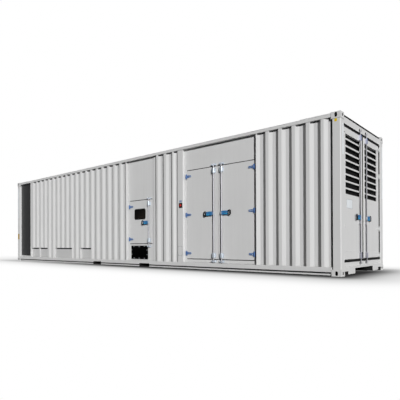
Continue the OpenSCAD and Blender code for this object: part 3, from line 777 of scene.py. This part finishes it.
def rod_set(name, node, grip_node, body, axis, z0, z1, r, cams, side, reach, zh, rest, off, mats, collars, hub_r):
    """Lock rod along Z at axis, with cams and a lever. side is the lever's direction, rest the direction away from the door."""
    bm = bmesh.new()
    ax, ay = axis
    o = Vector((ax, ay, 0.0))
    turned(bm, at((ax, ay, z0)), [(r * 0.72, 0.0), (r * 0.98, 0.004), (r, 0.006), (r, z1 - z0 - 0.006), (r * 0.98, z1 - z0 - 0.004), (r * 0.72, z1 - z0)], 22, 0)
    d, w = Vector(side), Vector(rest)
    for zc, hook in cams:
        rc = r * (1.30 if r > 0.0125 else 1.05)
        turned(bm, at((ax, ay, zc - 0.0095)), [(rc * 0.94, 0.0), (rc, 0.0014), (rc, 0.0176), (rc * 0.94, 0.0190)], 20, 1)
        # claw: two lobes with a notch between them
        q = at((ax, ay, zc), (0, 0, 1), hook)
        claw = [(0.006, -0.0078), (0.018, -0.0078), (0.0255, -0.0060), (0.0262, -0.0022), (0.0215, -0.0012), (0.0215, 0.0012), (0.0262, 0.0022), (0.0255, 0.0060), (0.018, 0.0078), (0.006, 0.0078)]
        prism(bm, q, claw, -0.0092, 0.0092, 1)
    for zc in collars:
        turned(bm, at((ax, ay, zc - 0.005)), [(r * 1.05, 0.0), (r * 1.24, 0.001), (r * 1.24, 0.009), (r * 1.05, 0.010)], 20, 1)
        cup_bolt(bm, o + Vector((0, 0, zc)) + w * r * 1.2, tuple(w), 0.003, 1)
    turned(bm, at((ax, ay, zh - 0.028)), [(hub_r * 0.86, 0.0), (hub_r, 0.003), (hub_r, 0.053), (hub_r * 0.86, 0.056)], 24, 1)
    m = Matrix((d, Vector((0, 0, 1)), w)).transposed().to_4x4()
    m.translation = Vector((ax, ay, zh))
    lever(bm, m, reach, off, 2, 1)
    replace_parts(piece(name, bm, body, mats, 0.8), node)
    bm = bmesh.new()
    grip(bm, m, reach, off)
    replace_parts(piece(name.replace("rod_set", "looped_grip"), bm, body, [M_BLACK_PLASTIC]), grip_node)


ROD_MATS = [M_SIDE_ROD, M_ZINC, M_BLUE, M_CYAN]
rod_set("control_lock_rod_set", "control_door_lock", "control_lock_grip", "control_lock", (1.110, ROD_Y), 0.520, 1.782, 0.013, [(0.534, (1, 0, 0)), (1.768, (1, 0, 0))],
        (-1, 0, 0), 0.265, 1.148, (0, -1, 0), 0.0078, ROD_MATS, (0.746, 1.572), 0.0185)
rod_set("engine_left_lock_rod_set", "engine_lock_left", "engine_grip_left", "engine_rod_left", (3.232, ROD_Y), 0.172, 2.359, 0.013, [(0.186, (1, 0, 0)), (2.345, (1, 0, 0))],
        (-1, 0, 0), 0.278, 1.262, (0, -1, 0), 0.0078, ROD_MATS, (0.388, 2.155), 0.0185)
rod_set("engine_right_lock_rod_set", "engine_lock_right", "engine_grip_right", "engine_rod_right", (3.450, ROD_Y), 0.172, 2.359, 0.013, [(0.186, (-1, 0, 0)), (2.345, (-1, 0, 0))],
        (1, 0, 0), 0.272, 1.262, (0, -1, 0), 0.0078, ROD_MATS, (0.388, 2.155), 0.0185)

# lever rests on the leaves: a folded bracket with a lip under each grip's shank
for key, body, x, z in (("control", "control_leaf", 0.935, 1.148), ("engine_left", "engine_leaf_left", 3.044, 1.262), ("engine_right", "engine_leaf_right", 3.632, 1.262)):
    bm = bmesh.new()
    m = at((x, LEAF_Y, z), (1, 0, 0), (0, -1, 0))
    u = [(0.0, -0.040), (0.0025, -0.040), (0.0025, -0.0215), (0.030, -0.0215), (0.030, -0.0190), (0.0, -0.0190)]
    for s in (-1, 1):
        prism(bm, m, [(a, s * b) for a, b in (u if s > 0 else list(reversed(u)))], -0.014, 0.014, 0)
        cup_bolt(bm, (x, LEAF_Y - 0.0026, z + s * 0.0310), (0, -1, 0), 0.0045, 1)
    piece(key + "_lever_rest", bm, body, [M_ZINC, M_BOLT], 0.5)

# keeper base plates on the bays
bm = bmesh.new()
for x, zs in ((1.110, (0.534, 1.768)), (3.232, (0.200, 2.345)), (3.450, (0.200, 2.345))):
    for z in zs:
        prism(bm, at((x, BAY_Y, z), (0, -1, 0), (1, 0, 0)), rr(-0.058, 0.058, -0.0235, 0.0235, 0.006, 3), 0.0002, 0.0032, 0)
        for s in (-1, 1):
            hex_bolt(bm, (x + s * 0.0505, BAY_Y - 0.0032, z), (0, -1, 0), 0.0038, 1)
            # lip folded over the front of each cheek
            prism(bm, at((x + s * 0.037, -1.1915, z), (0, 0, 1), (1, 0, 0)), rr(-0.0062, 0.0062, -0.0022, 0.0022, 0.002, 2), -0.0184, 0.0184, 0)
piece("side_keeper_plates", bm, "enclosure", [M_ZINC, M_BOLT], 0.5)

# ---------------------------------------------------------------------------
# louvred end: rods, seals, hinge bolts, swage lines, plates
# ---------------------------------------------------------------------------

END_ROD_X, END_ROD_Y, LEAF_X, SILL_X = 6.080, 0.174, 6.055, 6.064
END_MATS = [M_END_ROD, M_ROD, M_BLUE, M_CYAN]
for side, s in (("left", -1), ("right", 1)):
    rod_set("louvre_%s_lock_rod_set" % side, "louvre_lock_" + side, "louvre_grip_" + side, "louvre_rod_" + side, (END_ROD_X, s * END_ROD_Y), 0.190, 2.792,
            0.012, [(0.206, (0, s, 0)), (2.776, (0, s, 0))], (0, s, 0), 0.262, 1.083, (1, 0, 0), -0.0022, END_MATS, (0.407, 2.566), 0.0148)
    body = "louvre_leaf_" + side
    bm = bmesh.new()
    # base plates of the rod guides, with bolts
    for z, h in ((0.345, 0.052), (0.985, 0.028), (2.628, 0.052)):
        prism(bm, at((LEAF_X, s * END_ROD_Y, z), (1, 0, 0), (0, 1, 0)), rr(-0.0440, 0.0440, -h + 0.002, h - 0.002, 0.006, 3), 0.0002, 0.0042, 0)
        for t in (-1, 1):
            for v in ((-h * 0.55, h * 0.55) if h > 0.04 else (0.0,)):
                hex_bolt(bm, (LEAF_X + 0.0042, s * END_ROD_Y + t * 0.0370, z + v), (1, 0, 0), 0.0034, 0)
    # pressed swage lines across the leaf
    for z in (0.440, 1.395):
        a0, a1 = 0.030, 0.990
        prism(bm, at((LEAF_X, 0.0, z), (0, 1, 0), (1, 0, 0)), [(0.0, -0.0075), (0.0024, -0.0030), (0.0024, 0.0030), (0.0, 0.0075)], min(s * a0, s * a1), max(s * a0, s * a1), 0)
    # bolts on the hinge straps
    for z in (0.330, 0.897, 2.030, 2.612):
        for a in (0.920, 0.955, 0.990):
            cup_bolt(bm, (6.0602, s * a, z), (1, 0, 0), 0.0085, 0)
    # flanged trim round the louvre opening
    m = at((LEAF_X, 0.0, 0.0), (1, 0, 0), (0, 1, 0))
    y0, y1 = (0.128, 0.903) if s > 0 else (-0.903, -0.128)
    out, inn = rr(y0 - 0.012, y1 + 0.012, 1.468, 2.581, 0.006, 2), rr(y0, y1, 1.480, 2.569, 0.002, 2)
    hoop(bm, m, out, inn, 0.0, 0.0016, 0)
    piece("louvre_%s_door_fittings" % side, bm, body, [M_PAINT], 0.5)

# black gaskets clamped to the top and bottom edges of the leaves, lapping the gaps as painted shade in them
for side, s in (("left", -1), ("right", 1)):
    bm = bmesh.new()
    for z0, z1, tip in ((0.2405, 0.2900, 0), (2.6840, 2.7200, 1)):
        zi, zo = (z1, z0) if tip == 0 else (z0, z1)
        k = 1 if zo > zi else -1
        sec = [(6.0552, zi), (6.0590, zi), (6.0596, zi + k * 0.006), (6.0584, zo - k * 0.004), (6.0540, zo), (6.0420, zo), (6.0420, zo - k * 0.006), (6.0552, zo - k * 0.009)]
        m = at((0, 0, 0), (0, 1, 0), (1, 0, 0))
        sec = [(x, -z) for x, z in sec]
        prism(bm, m, sec if k < 0 else list(reversed(sec)), min(s * 0.012, s * 1.030), max(s * 0.012, s * 1.030), 0)
    if s < 0:
        # black buffer pad at the foot of the free edge, put there as painted shade
        prism(bm, at((6.0552, 0.0, 0.0), (1, 0, 0), (0, 1, 0)), rr(-0.0860, -0.0130, 0.2980, 0.4080, 0.006, 3), 0.0, 0.0080, 0)
    piece("louvre_%s_gaskets" % side, bm, "louvre_leaf_" + side, [M_RUBBER])

# folded cover strip and rubber lip along the right leaf's free edge
bm = bmesh.new()
m = at((0, 0, 0.2980), (0, 0, 1), (1, 0, 0))
prism(bm, m, [(6.0552, -0.0060), (6.0552, 0.0360), (6.0590, 0.0350), (6.0604, 0.0180), (6.0590, -0.0040)], 0.0, 2.388, 1)
prism(bm, m, [(6.0552, 0.0370), (6.0552, 0.0960), (6.0580, 0.0960), (6.0690, 0.0900), (6.0690, 0.0870)], 0.0, 2.388, 0)
for k in range(9):
    cup_bolt(bm, (6.0645, 0.0930, 0.42 + 0.27 * k), (0.4, 0.9, 0), 0.0030, 0)
piece("louvre_right_cover_strip", bm, "louvre_leaf_right", [M_PAINT, M_RUBBER])

# lever rests on the louvred leaves
for side, s in (("left", -1), ("right", 1)):
    bm = bmesh.new()
    m = at((LEAF_X, s * 0.346, 1.083), (0, 1, 0), (1, 0, 0))
    for t in (-1, 1):
        u = [(0.0, 0.040), (0.0025, 0.040), (0.0025, 0.0215), (0.021, 0.0215), (0.021, 0.0190), (0.0, 0.0190)]
        u = [(a, t * b) for a, b in u]
        prism(bm, m, u if t < 0 else list(reversed(u)), -0.014, 0.014, 0)
        cup_bolt(bm, (LEAF_X + 0.0026, s * 0.346, 1.083 + t * 0.0310), (1, 0, 0), 0.0045, 0)
    piece("louvre_%s_lever_rest" % side, bm, "louvre_leaf_" + side, [M_ROD], 0.5)

# end keepers: base plates, with a dark disc painted as the shade in the mouth of the socket between the cheeks
bm = bmesh.new()
for s in (-1, 1):
    for z in (0.206, 2.776):
        prism(bm, at((SILL_X, s * END_ROD_Y, z), (1, 0, 0), (0, 1, 0)), rr(-0.056, 0.056, -0.0215, 0.0215, 0.006, 3), 0.0002, 0.0022, 0)
        prism(bm, at((SILL_X, s * END_ROD_Y, z), (1, 0, 0), (0, 1, 0)), rr(-0.030, 0.030, -0.0155, 0.0155, 0.012, 5), 0.0021, 0.0026, 1)
        for t in (-1, 1):
            prism(bm, at((6.0896, s * END_ROD_Y + t * 0.036, z), (0, 0, 1), (0, 1, 0)), rr(-0.0060, 0.0060, -0.0020, 0.0020, 0.0018, 2), -0.0203, 0.0203, 0)
piece("louvre_end_keeper_plates", bm, "enclosure", [M_PAINT, M_RUBBER], 0.5)

# door seals of the louvred end, interrupted at the hinges, black so the gaps read as painted shade
bm = bmesh.new()
bulb = lambda w, h: [(-w, 0.0), (-w, h * 0.55), (-w * 0.6, h * 0.9), (0.0, h), (w * 0.6, h * 0.9), (w, h * 0.55), (w, 0.0)]
seal_z = []
stops = [0.330, 0.897, 2.030, 2.612]
lo = 0.262
for h in stops:
    seal_z.append((lo, h - 0.056))
    lo = h + 0.056
seal_z.append((lo, 2.716))
for s in (-1, 1):
    for a, b in seal_z:
        if b - a < 0.01:
            continue
        # lipped strip on the inner side of each post
        m = at((0.0, s * 1.057, 0.0), (0, 0, 1), (1, 0, 0))
        lip = [(5.992, -0.0002), (6.072, -0.0002), (6.072, -0.0035), (6.060, -0.0055), (6.046, -0.0110), (6.034, -0.0165), (6.010, -0.0175), (5.992, -0.0100)]
        lip = [(x, y * s) for x, y in lip]
        prism(bm, m, lip if s < 0 else list(reversed(lip)), a, b, 0)
# black buffer blocks under each hinge, painted shadow of the hinges
for s in (-1, 1):
    for h in stops:
        prism(bm, at((6.0640, s * 1.0440, h - 0.0920), (0, 0, 1), (1, 0, 0)), rr(-0.0070, 0.0070, -0.0125, 0.0125, 0.003, 3), 0.0, 0.0300, 0)
# black strips under and over the leaves, painted shade in those gaps
prism(bm, at((0, 0, 0), (0, 1, 0), (1, 0, 0)), [(5.9862, -0.2382), (6.0200, -0.2382), (6.0270, -0.2480), (6.0290, -0.2640), (6.0250, -0.2760), (5.9960, -0.2770), (5.9862, -0.2600)], -1.0385, 1.0385, 0)
prism(bm, at((0, 0, 0), (0, 1, 0), (1, 0, 0)), [(5.9862, -2.7205), (5.9862, -2.7085), (5.9960, -2.7070), (6.0100, -2.7072), (6.0165, -2.7120), (6.0180, -2.7205)], -1.0385, 1.0385, 0)
piece("louvre_end_seals", bm, "enclosure", [M_RUBBER])

# overlap seal on the right leaf's free edge, behind the meeting line
bm = bmesh.new()
prism(bm, at((0, 0, 0), (0, 0, 1), (1, 0, 0)), [(5.998, 0.0068), (5.998, 0.0010), (6.004, -0.0035), (6.016, -0.0045), (6.028, -0.0030), (6.032, 0.0010), (6.032, 0.0068)], 0.285, 2.700, 0)
piece("louvre_right_meeting_seal", bm, "louvre_leaf_right", [M_RUBBER])

# blank data plate, rivetted, on the left leaf
bm = bmesh.new()
prism(bm, at((LEAF_X, -0.704, 1.309), (1, 0, 0), (0, 1, 0)), rr(-0.140, 0.140, -0.082, 0.082, 0.006, 3), 0.0002, 0.0014, 0)
hoop(bm, at((LEAF_X, -0.704, 1.309), (1, 0, 0), (0, 1, 0)), rr(-0.140, 0.140, -0.082, 0.082, 0.006, 3), rr(-0.135, 0.135, -0.077, 0.077, 0.004, 3), 0.0014, 0.0019, 1)
for a in (-0.130, 0.130):
    for b in (-0.072, 0.072):
        cup_bolt(bm, (LEAF_X + 0.0014, -0.704 + a, 1.309 + b), (1, 0, 0), 0.0035, 1)
piece("louvre_left_blank_plate", bm, "louvre_leaf_left", [M_PLATE, M_BOLT])

# blank strips on the post ends, and plain tags
bm = bmesh.new()
prism(bm, at((-6.0215, -1.2131, 2.1300), (0, -1, 0), (1, 0, 0)), rr(-0.0275, 0.0275, -0.560, 0.560, 0.005, 3), 0.0, 0.0005, 0)
for (y0, y1, z0, z1) in ((-1.128, -1.082, 2.150, 2.700), (1.150, 1.196, 1.560, 2.690)):
    prism(bm, at((6.0901, (y0 + y1) / 2, (z0 + z1) / 2), (1, 0, 0), (0, 1, 0)), rr(-(y1 - y0) / 2, (y1 - y0) / 2, -(z1 - z0) / 2, (z1 - z0) / 2, 0.005, 3), 0.0, 0.0005, 0)
piece("post_blank_strips", bm, "enclosure", [M_PLATE])
bm = bmesh.new()
prism(bm, at((6.0030, -1.2131, 2.7480), (0, -1, 0), (1, 0, 0)), rr(-0.022, 0.022, -0.025, 0.025, 0.008, 4), 0.0, 0.0008, 0)
for a in (-0.018, 0.018):
    cup_bolt(bm, (6.0030, -1.2139, 2.7480 + a), (0, -1, 0), 0.0024, 1)
piece("near_post_tag", bm, "enclosure", [M_YELLOW, M_BOLT])
bm = bmesh.new()
prism(bm, at((-6.0170, -1.2131, 0.8975), (0, -1, 0), (1, 0, 0)), rr(-0.052, 0.052, -0.100, 0.100, 0.005, 3), 0.0, 0.0008, 0)
for a in (-0.086, 0.086):
    cup_bolt(bm, (-6.0170, -1.2139, 0.8975 + a), (0, -1, 0), 0.0028, 1)
piece("far_post_tag", bm, "enclosure", [M_ORANGE, M_BOLT])

# ---------------------------------------------------------------------------
# control bay and switch post
# ---------------------------------------------------------------------------

# cable entry panel: rolled frame, gland strip, bolts
bm = bmesh.new()
PX0, PX1, PZ0, PZ1, PY = 0.394, 1.046, 0.197, 0.551, -1.147
m = at((0, PY, 0), (0, -1, 0), (1, 0, 0))
hoop(bm, m, rr(PX0 + 0.001, PX1 - 0.001, PZ0 + 0.001, PZ1 - 0.001, 0.016, 4), rr(PX0 + 0.043, PX1 - 0.043, PZ0 + 0.043, PZ1 - 0.043, 0.010, 4), -0.0002, 0.0040, 0)
hoop(bm, m, rr(PX0 + 0.052, PX1 - 0.052, PZ0 + 0.052, PZ1 - 0.052, 0.008, 3), rr(PX0 + 0.060, PX1 - 0.060, PZ0 + 0.060, PZ1 - 0.060, 0.006, 3), -0.0002, 0.0016, 0)
for k in range(6):
    cx = 0.515 + 0.082 * k
    turned(bm, at((cx, PY, 0.378), (0, -1, 0), (1, 0, 0)), [(0.0300, -0.0002), (0.0300, 0.0024), (0.0270, 0.0042), (0.0150, 0.0048), (0.0130, 0.0040), (0.0, 0.0038)], 24, 0)
for x in (0.506, 0.712, 0.917):
    for z in (PZ0 + 0.0225, PZ1 - 0.0225):
        hex_bolt(bm, (x, PY - 0.0040, z), (0, -1, 0), 0.0080, 1)
for z in (0.318, 0.438):
    for x in (PX0 + 0.0225, PX1 - 0.0225):
        hex_bolt(bm, (x, PY - 0.0040, z), (0, -1, 0), 0.0080, 1)
piece("cable_panel_fittings", bm, "enclosure", [M_BLACK, M_BOLT], 0.6)

# window: outer rubber bead and an inner lip
bm = bmesh.new()
m = at((0, -1.152, 0), (0, -1, 0), (1, 0, 0))
hoop(bm, m, rr(0.534, 0.965, 1.238, 1.519, 0.051, 7), rr(0.551, 0.948, 1.255, 1.502, 0.042, 7), -0.0004, 0.0046, 0)
hoop(bm, m, rr(0.539, 0.960, 1.243, 1.514, 0.048, 7), rr(0.546, 0.953, 1.250, 1.507, 0.044, 7), 0.0044, 0.0064, 0)
piece("control_window_bead", bm, "control_leaf", [M_RUBBER], 0.8)

# emergency stop: bezel, collar and mushroom head
bm = bmesh.new()
BX, BZ = 2.2645, 1.500
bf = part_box("estop_box")[0].y
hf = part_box("estop_button")[0].y
m = at((BX, bf, BZ), (0, -1, 0), (1, 0, 0))
hoop(bm, m, rr(-0.0545, 0.0545, -0.0570, 0.0570, 0.009, 4), rr(-0.0490, 0.0490, -0.0515, 0.0515, 0.006, 4), -0.0002, 0.0016, 0)
for a in (-0.043, 0.043):
    for b in (-0.0455, 0.0455):
        cup_bolt(bm, (BX + a, bf, BZ + b), (0, -1, 0), 0.0034, 1)
turned(bm, m, [(0.0315, -0.0002), (0.0315, 0.0012), (0.0285, 0.0024), (0.0200, 0.0026)], 32, 0)
piece("estop_bezel", bm, "enclosure", [M_BLACK_PLASTIC, M_BOLT])
h = abs(hf - bf)
bm = bmesh.new()
rb = (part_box("estop_button")[1].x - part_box("estop_button")[0].x) / 2
turned(bm, m, [(rb * 0.62, 0.0), (rb * 0.62, h * 0.30), (rb * 0.90, h * 0.36), (rb, h * 0.46), (rb * 0.99, h * 0.60), (rb * 0.90, h * 0.80), (rb * 0.70, h * 0.93), (rb * 0.4, h * 0.99), (0.0, h)], 36, 0)
p = piece("estop_mushroom_head", bm, "enclosure", [M_RED], sharp=50.0)
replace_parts(p, "estop_button")
bm = bmesh.new()
prism(bm, at((BX, -1.2070, 1.5985), (0, -1, 0), (1, 0, 0)), rr(-0.042, 0.042, -0.0235, 0.0235, 0.004, 3), 0.0002, 0.0014, 0)
for a in (-0.037, 0.037):
    cup_bolt(bm, (BX + a, -1.2084, 1.5985), (0, -1, 0), 0.0024, 1)
piece("estop_blank_label", bm, "enclosure", [M_PLATE_BLUE, M_BOLT])

# access cover: bolts and a fine gasket line
bm = bmesh.new()
for x in (2.198, 2.304):
    for z in (0.330, 0.518):
        hex_bolt(bm, (x, -1.2120, z), (0, -1, 0), 0.0048, 1)
hoop(bm, at((0, -1.2070, 0), (0, -1, 0), (1, 0, 0)), rr(2.1835, 2.3185, 0.3125, 0.5355, 0.004, 3), rr(2.1865, 2.3155, 0.3155, 0.5325, 0.003, 3), 0.0002, 0.0016, 0)
piece("access_cover_fixings", bm, "enclosure", [M_RUBBER, M_BOLT])

# black strips over the top and bottom gaps of the side doors, painted shade of the door seams
bm = bmesh.new()
for (x0, x1, z0, z1) in ((0.338, 1.212, 0.612, 1.737), (2.419, 4.279, 0.249, 2.300)):
    for z, k in ((z1, 1), (z0, -1)):
        sec = [(-1.1388, z + k * 0.0015), (-1.1400, z + k * 0.0010), (-1.1446, z + k * 0.0020), (-1.1450, z + k * 0.0060), (-1.1425, z + k * 0.0175), (-1.1388, z + k * 0.0185)]
        prism(bm, at((0, 0, 0), (1, 0, 0), (0, 1, 0)), sec if k < 0 else list(reversed(sec)), x0, x1, 0)
piece("side_door_gap_shade_strips", bm, "enclosure", [M_RUBBER])

# seals on the stops behind the side doors, black so the gaps round the doors read as painted shade
bm = bmesh.new()
for (x0, x1, z0, z1) in ((0.345, 1.205, 0.612, 1.737), (2.426, 4.272, 0.249, 2.300)):
    m = at((0, -1.0902, 0), (0, -1, 0), (1, 0, 0))
    hoop(bm, m, rr(x0 + 0.001, x1 - 0.001, z0 + 0.001, z1 - 0.001, 0.004, 2), rr(x0 + 0.013, x1 - 0.013, z0 + 0.013, z1 - 0.013, 0.003, 2), 0.0, 0.0050, 0)
piece("side_door_seals_and_gap_shade", bm, "enclosure", [M_RUBBER], 1.5)

# ---------------------------------------------------------------------------
# welds, roof details, small body fittings
# ---------------------------------------------------------------------------


def bead(bm, a, b, up, r=0.0042, pitch=0.009, mat=0):
    """A weld bead with its ripples, lying from a to b."""
    a, b = Vector(a), Vector(b)
    n = max(2, int((b - a).length / pitch))
    t = (b - a).normalized()
    u = Vector(up)
    u = (u - t * u.dot(t)).normalized()
    s = t.cross(u)
    rings = []
    for i in range(n + 1):
        p = a + (b - a) * i / n
        k = r * (0.86 + 0.14 * math.cos(i * 2.1) + 0.06 * math.sin(i * 0.37))
        rings.append([bm.verts.new(p + s * k * math.cos(q) + u * k * 0.75 * math.sin(q)) for q in (-0.6, 0.5, 1.5708, 2.64, 3.74)])
    for p, q in zip(rings, rings[1:]):
        for j in range(4):
            bm.faces.new((p[j], p[j + 1], q[j + 1], q[j])).material_index = mat
        bm.faces.new((p[4], p[0], q[0], q[4])).material_index = mat
    bm.faces.new(rings[0]).material_index = mat
    bm.faces.new(list(reversed(rings[-1]))).material_index = mat


bm = bmesh.new()
HX, HY = 6.096, 1.219
for sx in (-1, 1):
    for sy in (-1, 1):
        for z in (0.118, 2.778):
            # round the joint of post and casting
            bead(bm, (sx * 5.945, sy * 1.2132, z), (sx * 6.075, sy * 1.2132, z), (0, sy, 0), 0.0036, 0.012)
            bead(bm, (sx * 6.0902, sy * 1.060, z), (sx * 6.0902, sy * 1.198, z), (sx, 0, 0), 0.0036, 0.012)
for sy in (-1, 1):
    for x0, x1 in ((-5.940, -5.150), (-5.110, 0.250), (1.295, 2.170), (2.176, 2.338), (4.362, 5.780)) if sy < 0 else ((-5.850, 5.850),):
        bead(bm, (x0, sy * 1.2035, 0.1585), (x1, sy * 1.2035, 0.1585), (0, sy * 0.5, 1), 0.0030, 0.02)
piece("frame_weld_beads", bm, "enclosure", [M_PAINT], sharp=80.0)
# black strip in the recess beside the near post, painted shade
bm = bmesh.new()
prism(bm, at((0, 0, 0.1600), (0, 0, 1), (1, 0, 0)), [(5.9100, -1.1700), (5.9100, -1.1790), (5.9180, -1.1860), (5.9300, -1.1885), (5.9425, -1.1990), (5.9425, -1.1700)], 0.0, 2.6500)
piece("near_post_shade_strip", bm, "enclosure", [M_RUBBER])
# rubber lip standing on the seal above the louvred end's header
bm = bmesh.new()
prism(bm, at((0.0, 0.0, 0.0), (0, 1, 0), (1, 0, 0)), [(6.0510, -2.8721), (6.0700, -2.8721), (6.0705, -2.8765), (6.0690, -2.8800), (6.0640, -2.8812), (6.0510, -2.8790)], -1.0520, 1.0520, 0)
piece("header_lip", bm, "enclosure", [M_RUBBER], sharp=50.0)
bm = bmesh.new()
for sy in (-1, 1):
    # drip strip along each roof rail
    prism(bm, at((0.0, sy * 1.1865, 2.8710), (0, 0, 1), (1, 0, 0)), rr(-5.9165, 5.9165, -0.0260, 0.0260, 0.006, 3), 0.0, 0.0085, 0)
for sx in (-1, 1):
    for sy in (-1, 1):
        x0, x1 = sorted((sx * 5.330, sx * 5.9170))
        y0, y1 = sorted((sy * 1.2120, sy * 1.1550))
        prism(bm, at(((x0 + x1) / 2, (y0 + y1) / 2, 2.8710), (0, 0, 1), (1, 0, 0)), rr(-(x1 - x0) / 2, (x1 - x0) / 2, -(y1 - y0) / 2, (y1 - y0) / 2, 0.006, 3), 0.0080, 0.0170, 0)
piece("roof_corner_plates", bm, "enclosure", [M_PAINT], sharp=80.0)

# roof hatch: hinges, toggles and a gasket
bm = bmesh.new()
hb_lo, hb_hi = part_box("roof_hatch")
zt = hb_hi.z
for y in (hb_lo.y + 0.09, hb_hi.y - 0.09):
    prism(bm, at((hb_lo.x + 0.03, y, zt), (0, 0, 1), (1, 0, 0)), rr(-0.028, 0.045, -0.030, 0.030, 0.006, 3), 0.0, 0.0030, 0)
    for a in (-0.012, 0.026):
        cup_bolt(bm, (hb_lo.x + 0.03 + a, y, zt + 0.003), (0, 0, 1), 0.0060, 1)
swept(bm, [(hb_hi.x - 0.055, -0.985, zt), (hb_hi.x - 0.055, -0.985, zt + 0.0035), (hb_hi.x - 0.055, -0.865, zt + 0.0035), (hb_hi.x - 0.055, -0.865, zt)], 0.0030, 8, False, 1, (1, 0, 0))
for x in (hb_lo.x + 0.022, (hb_lo.x + hb_hi.x) / 2, hb_hi.x - 0.022):
    for y in (hb_lo.y + 0.022, hb_hi.y - 0.022):
        cup_bolt(bm, (x, y, zt), (0, 0, 1), 0.0065, 1)
hoop(bm, at((0, 0, 0), (0, 0, 1), (1, 0, 0)), rr(hb_lo.x - 0.0045, hb_hi.x + 0.0045, hb_lo.y - 0.0020, hb_hi.y + 0.0045, 0.006, 3),
     rr(hb_lo.x + 0.0010, hb_hi.x - 0.0010, hb_lo.y + 0.0010, hb_hi.y - 0.0010, 0.004, 3), 2.8662, 2.8705, 2)
piece("roof_hatch_fittings", bm, "enclosure", [M_PAINT, M_BOLT, M_RUBBER])

# ---------------------------------------------------------------------------
# stage: floor, light, camera
# ---------------------------------------------------------------------------

n = Net("studio_floor")
for k in list(n.nt.nodes):
    if k is n.bsdf:
        n.nt.nodes.remove(k)
        break
# soft contact shade that fades with the distance from the enclosure's plan, and reaches further past its far end
right = n.math("MAXIMUM", n.math("SUBTRACT", n.x, 6.06), 0.0)
left = n.math("MAXIMUM", n.math("SUBTRACT", -6.02, n.x), 0.0)
left = n.math("POWER", n.mul(left, 0.26), 0.72)
aside = n.math("MAXIMUM", n.math("SUBTRACT", n.absv(n.y), 1.20), 0.0)
run = n.add(right, left)
dist = n.math("SQRT", n.add(n.mul(run, run), n.mul(aside, aside)))
ramp = n.nt.nodes.new("ShaderNodeValToRGB")
ramp.color_ramp.interpolation = "B_SPLINE"
n.nt.links.new(n.mul(dist, 1 / 2.4), ramp.inputs[0])
cr = ramp.color_ramp
shade = [(0.0, 46), (0.06, 62), (0.12, 82), (0.20, 108), (0.30, 136), (0.40, 162), (0.50, 188), (0.60, 203), (0.72, 215), (0.86, 224), (1.05, 232), (1.23, 239),
         (1.40, 245), (1.56, 249), (1.72, 252), (1.92, 254), (2.25, 255)]
while len(cr.elements) > 1:
    cr.elements.remove(cr.elements[-1])
for i, (d, v) in enumerate(shade):
    el = cr.elements[0] if i == 0 else cr.elements.new(d / 2.4)
    el.position = d / 2.4
    c = v / 255.0
    c = ((c + 0.055) / 1.055) ** 2.4
    el.color = (c, c, c, 1)
thin = n.any(n.mul(n.remap(n.x, -6.3, 0.5, 1.0, 0.0, smooth=True), 0.46), n.mul(n.remap(n.y, 0.3, 1.6, 0.0, 1.0, smooth=True), 0.45))
em = n.nt.nodes.new("ShaderNodeEmission")
n.nt.links.new(n.mix(thin, ramp.outputs[0], (1.0, 1.0, 1.0)), em.inputs[0])
em.inputs[1].default_value = 1.0
n.nt.links.new(em.outputs[0], n.out.inputs["Surface"])
bm = bmesh.new()
mesh_faces(bm, [(-90, -90, -0.0005), (90, -90, -0.0005), (90, 90, -0.0005), (-90, 90, -0.0005)], [(0, 1, 2, 3)])
me = bpy.data.meshes.new("studio_floor")
bm.to_mesh(me)
bm.free()
floor = bpy.data.objects.new("studio_floor", me)
me.materials.append(n.mat)
scene.collection.objects.link(floor)
floor.visible_diffuse = floor.visible_glossy = floor.visible_transmission = floor.visible_shadow = False
floor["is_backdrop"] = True

world = bpy.data.worlds.new("studio")
scene.world = world
world.use_nodes = True
wn = world.node_tree
wn.nodes.clear()
wo = wn.nodes.new("ShaderNodeOutputWorld")
seen = wn.nodes.new("ShaderNodeBackground")
seen.inputs[0].default_value, seen.inputs[1].default_value = (1, 1, 1, 1), 1.0
amb = wn.nodes.new("ShaderNodeBackground")
amb.inputs[0].default_value, amb.inputs[1].default_value = (0.96, 0.98, 1.0, 1), 0.03
lp = wn.nodes.new("ShaderNodeLightPath")
mx = wn.nodes.new("ShaderNodeMixShader")
wn.links.new(lp.outputs["Is Camera Ray"], mx.inputs[0])
wn.links.new(amb.outputs[0], mx.inputs[1])
wn.links.new(seen.outputs[0], mx.inputs[2])
wn.links.new(mx.outputs[0], wo.inputs[0])


def sun(name, towards, energy, angle, colour=(1, 1, 1)):
    d = bpy.data.lights.new(name, "SUN")
    d.energy, d.angle, d.color = energy, math.radians(angle), colour
    o = bpy.data.objects.new(name, d)
    o.rotation_euler = Vector(towards).to_track_quat("Z", "Y").to_euler()
    scene.collection.objects.link(o)
    return o


sun("key", (0.790, -0.625, 0.30), 3.43, 1.4)
sun("rear_fill", (-0.52, 0.66, 0.54), 2.7, 12.0)

cam = bpy.data.cameras.new("camera")
cam.lens, cam.sensor_width, cam.shift_x, cam.shift_y = 35.6065, 36.0, 0.006651, 0.108812
cam.clip_start, cam.clip_end = 0.1, 500.0
co = bpy.data.objects.new("camera", cam)
co.location = (8.687674, -8.044687, 0.568834)
co.rotation_mode = "XYZ"
co.rotation_euler = (1.5738139, 0.00384201, 0.7120159)
scene.collection.objects.link(co)
scene.camera = co
scene.view_settings.view_transform = "Standard"
scene.view_settings.look = "None"
scene.view_settings.exposure = 0.0
scene.view_settings.gamma = 1.0

lo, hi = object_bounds()
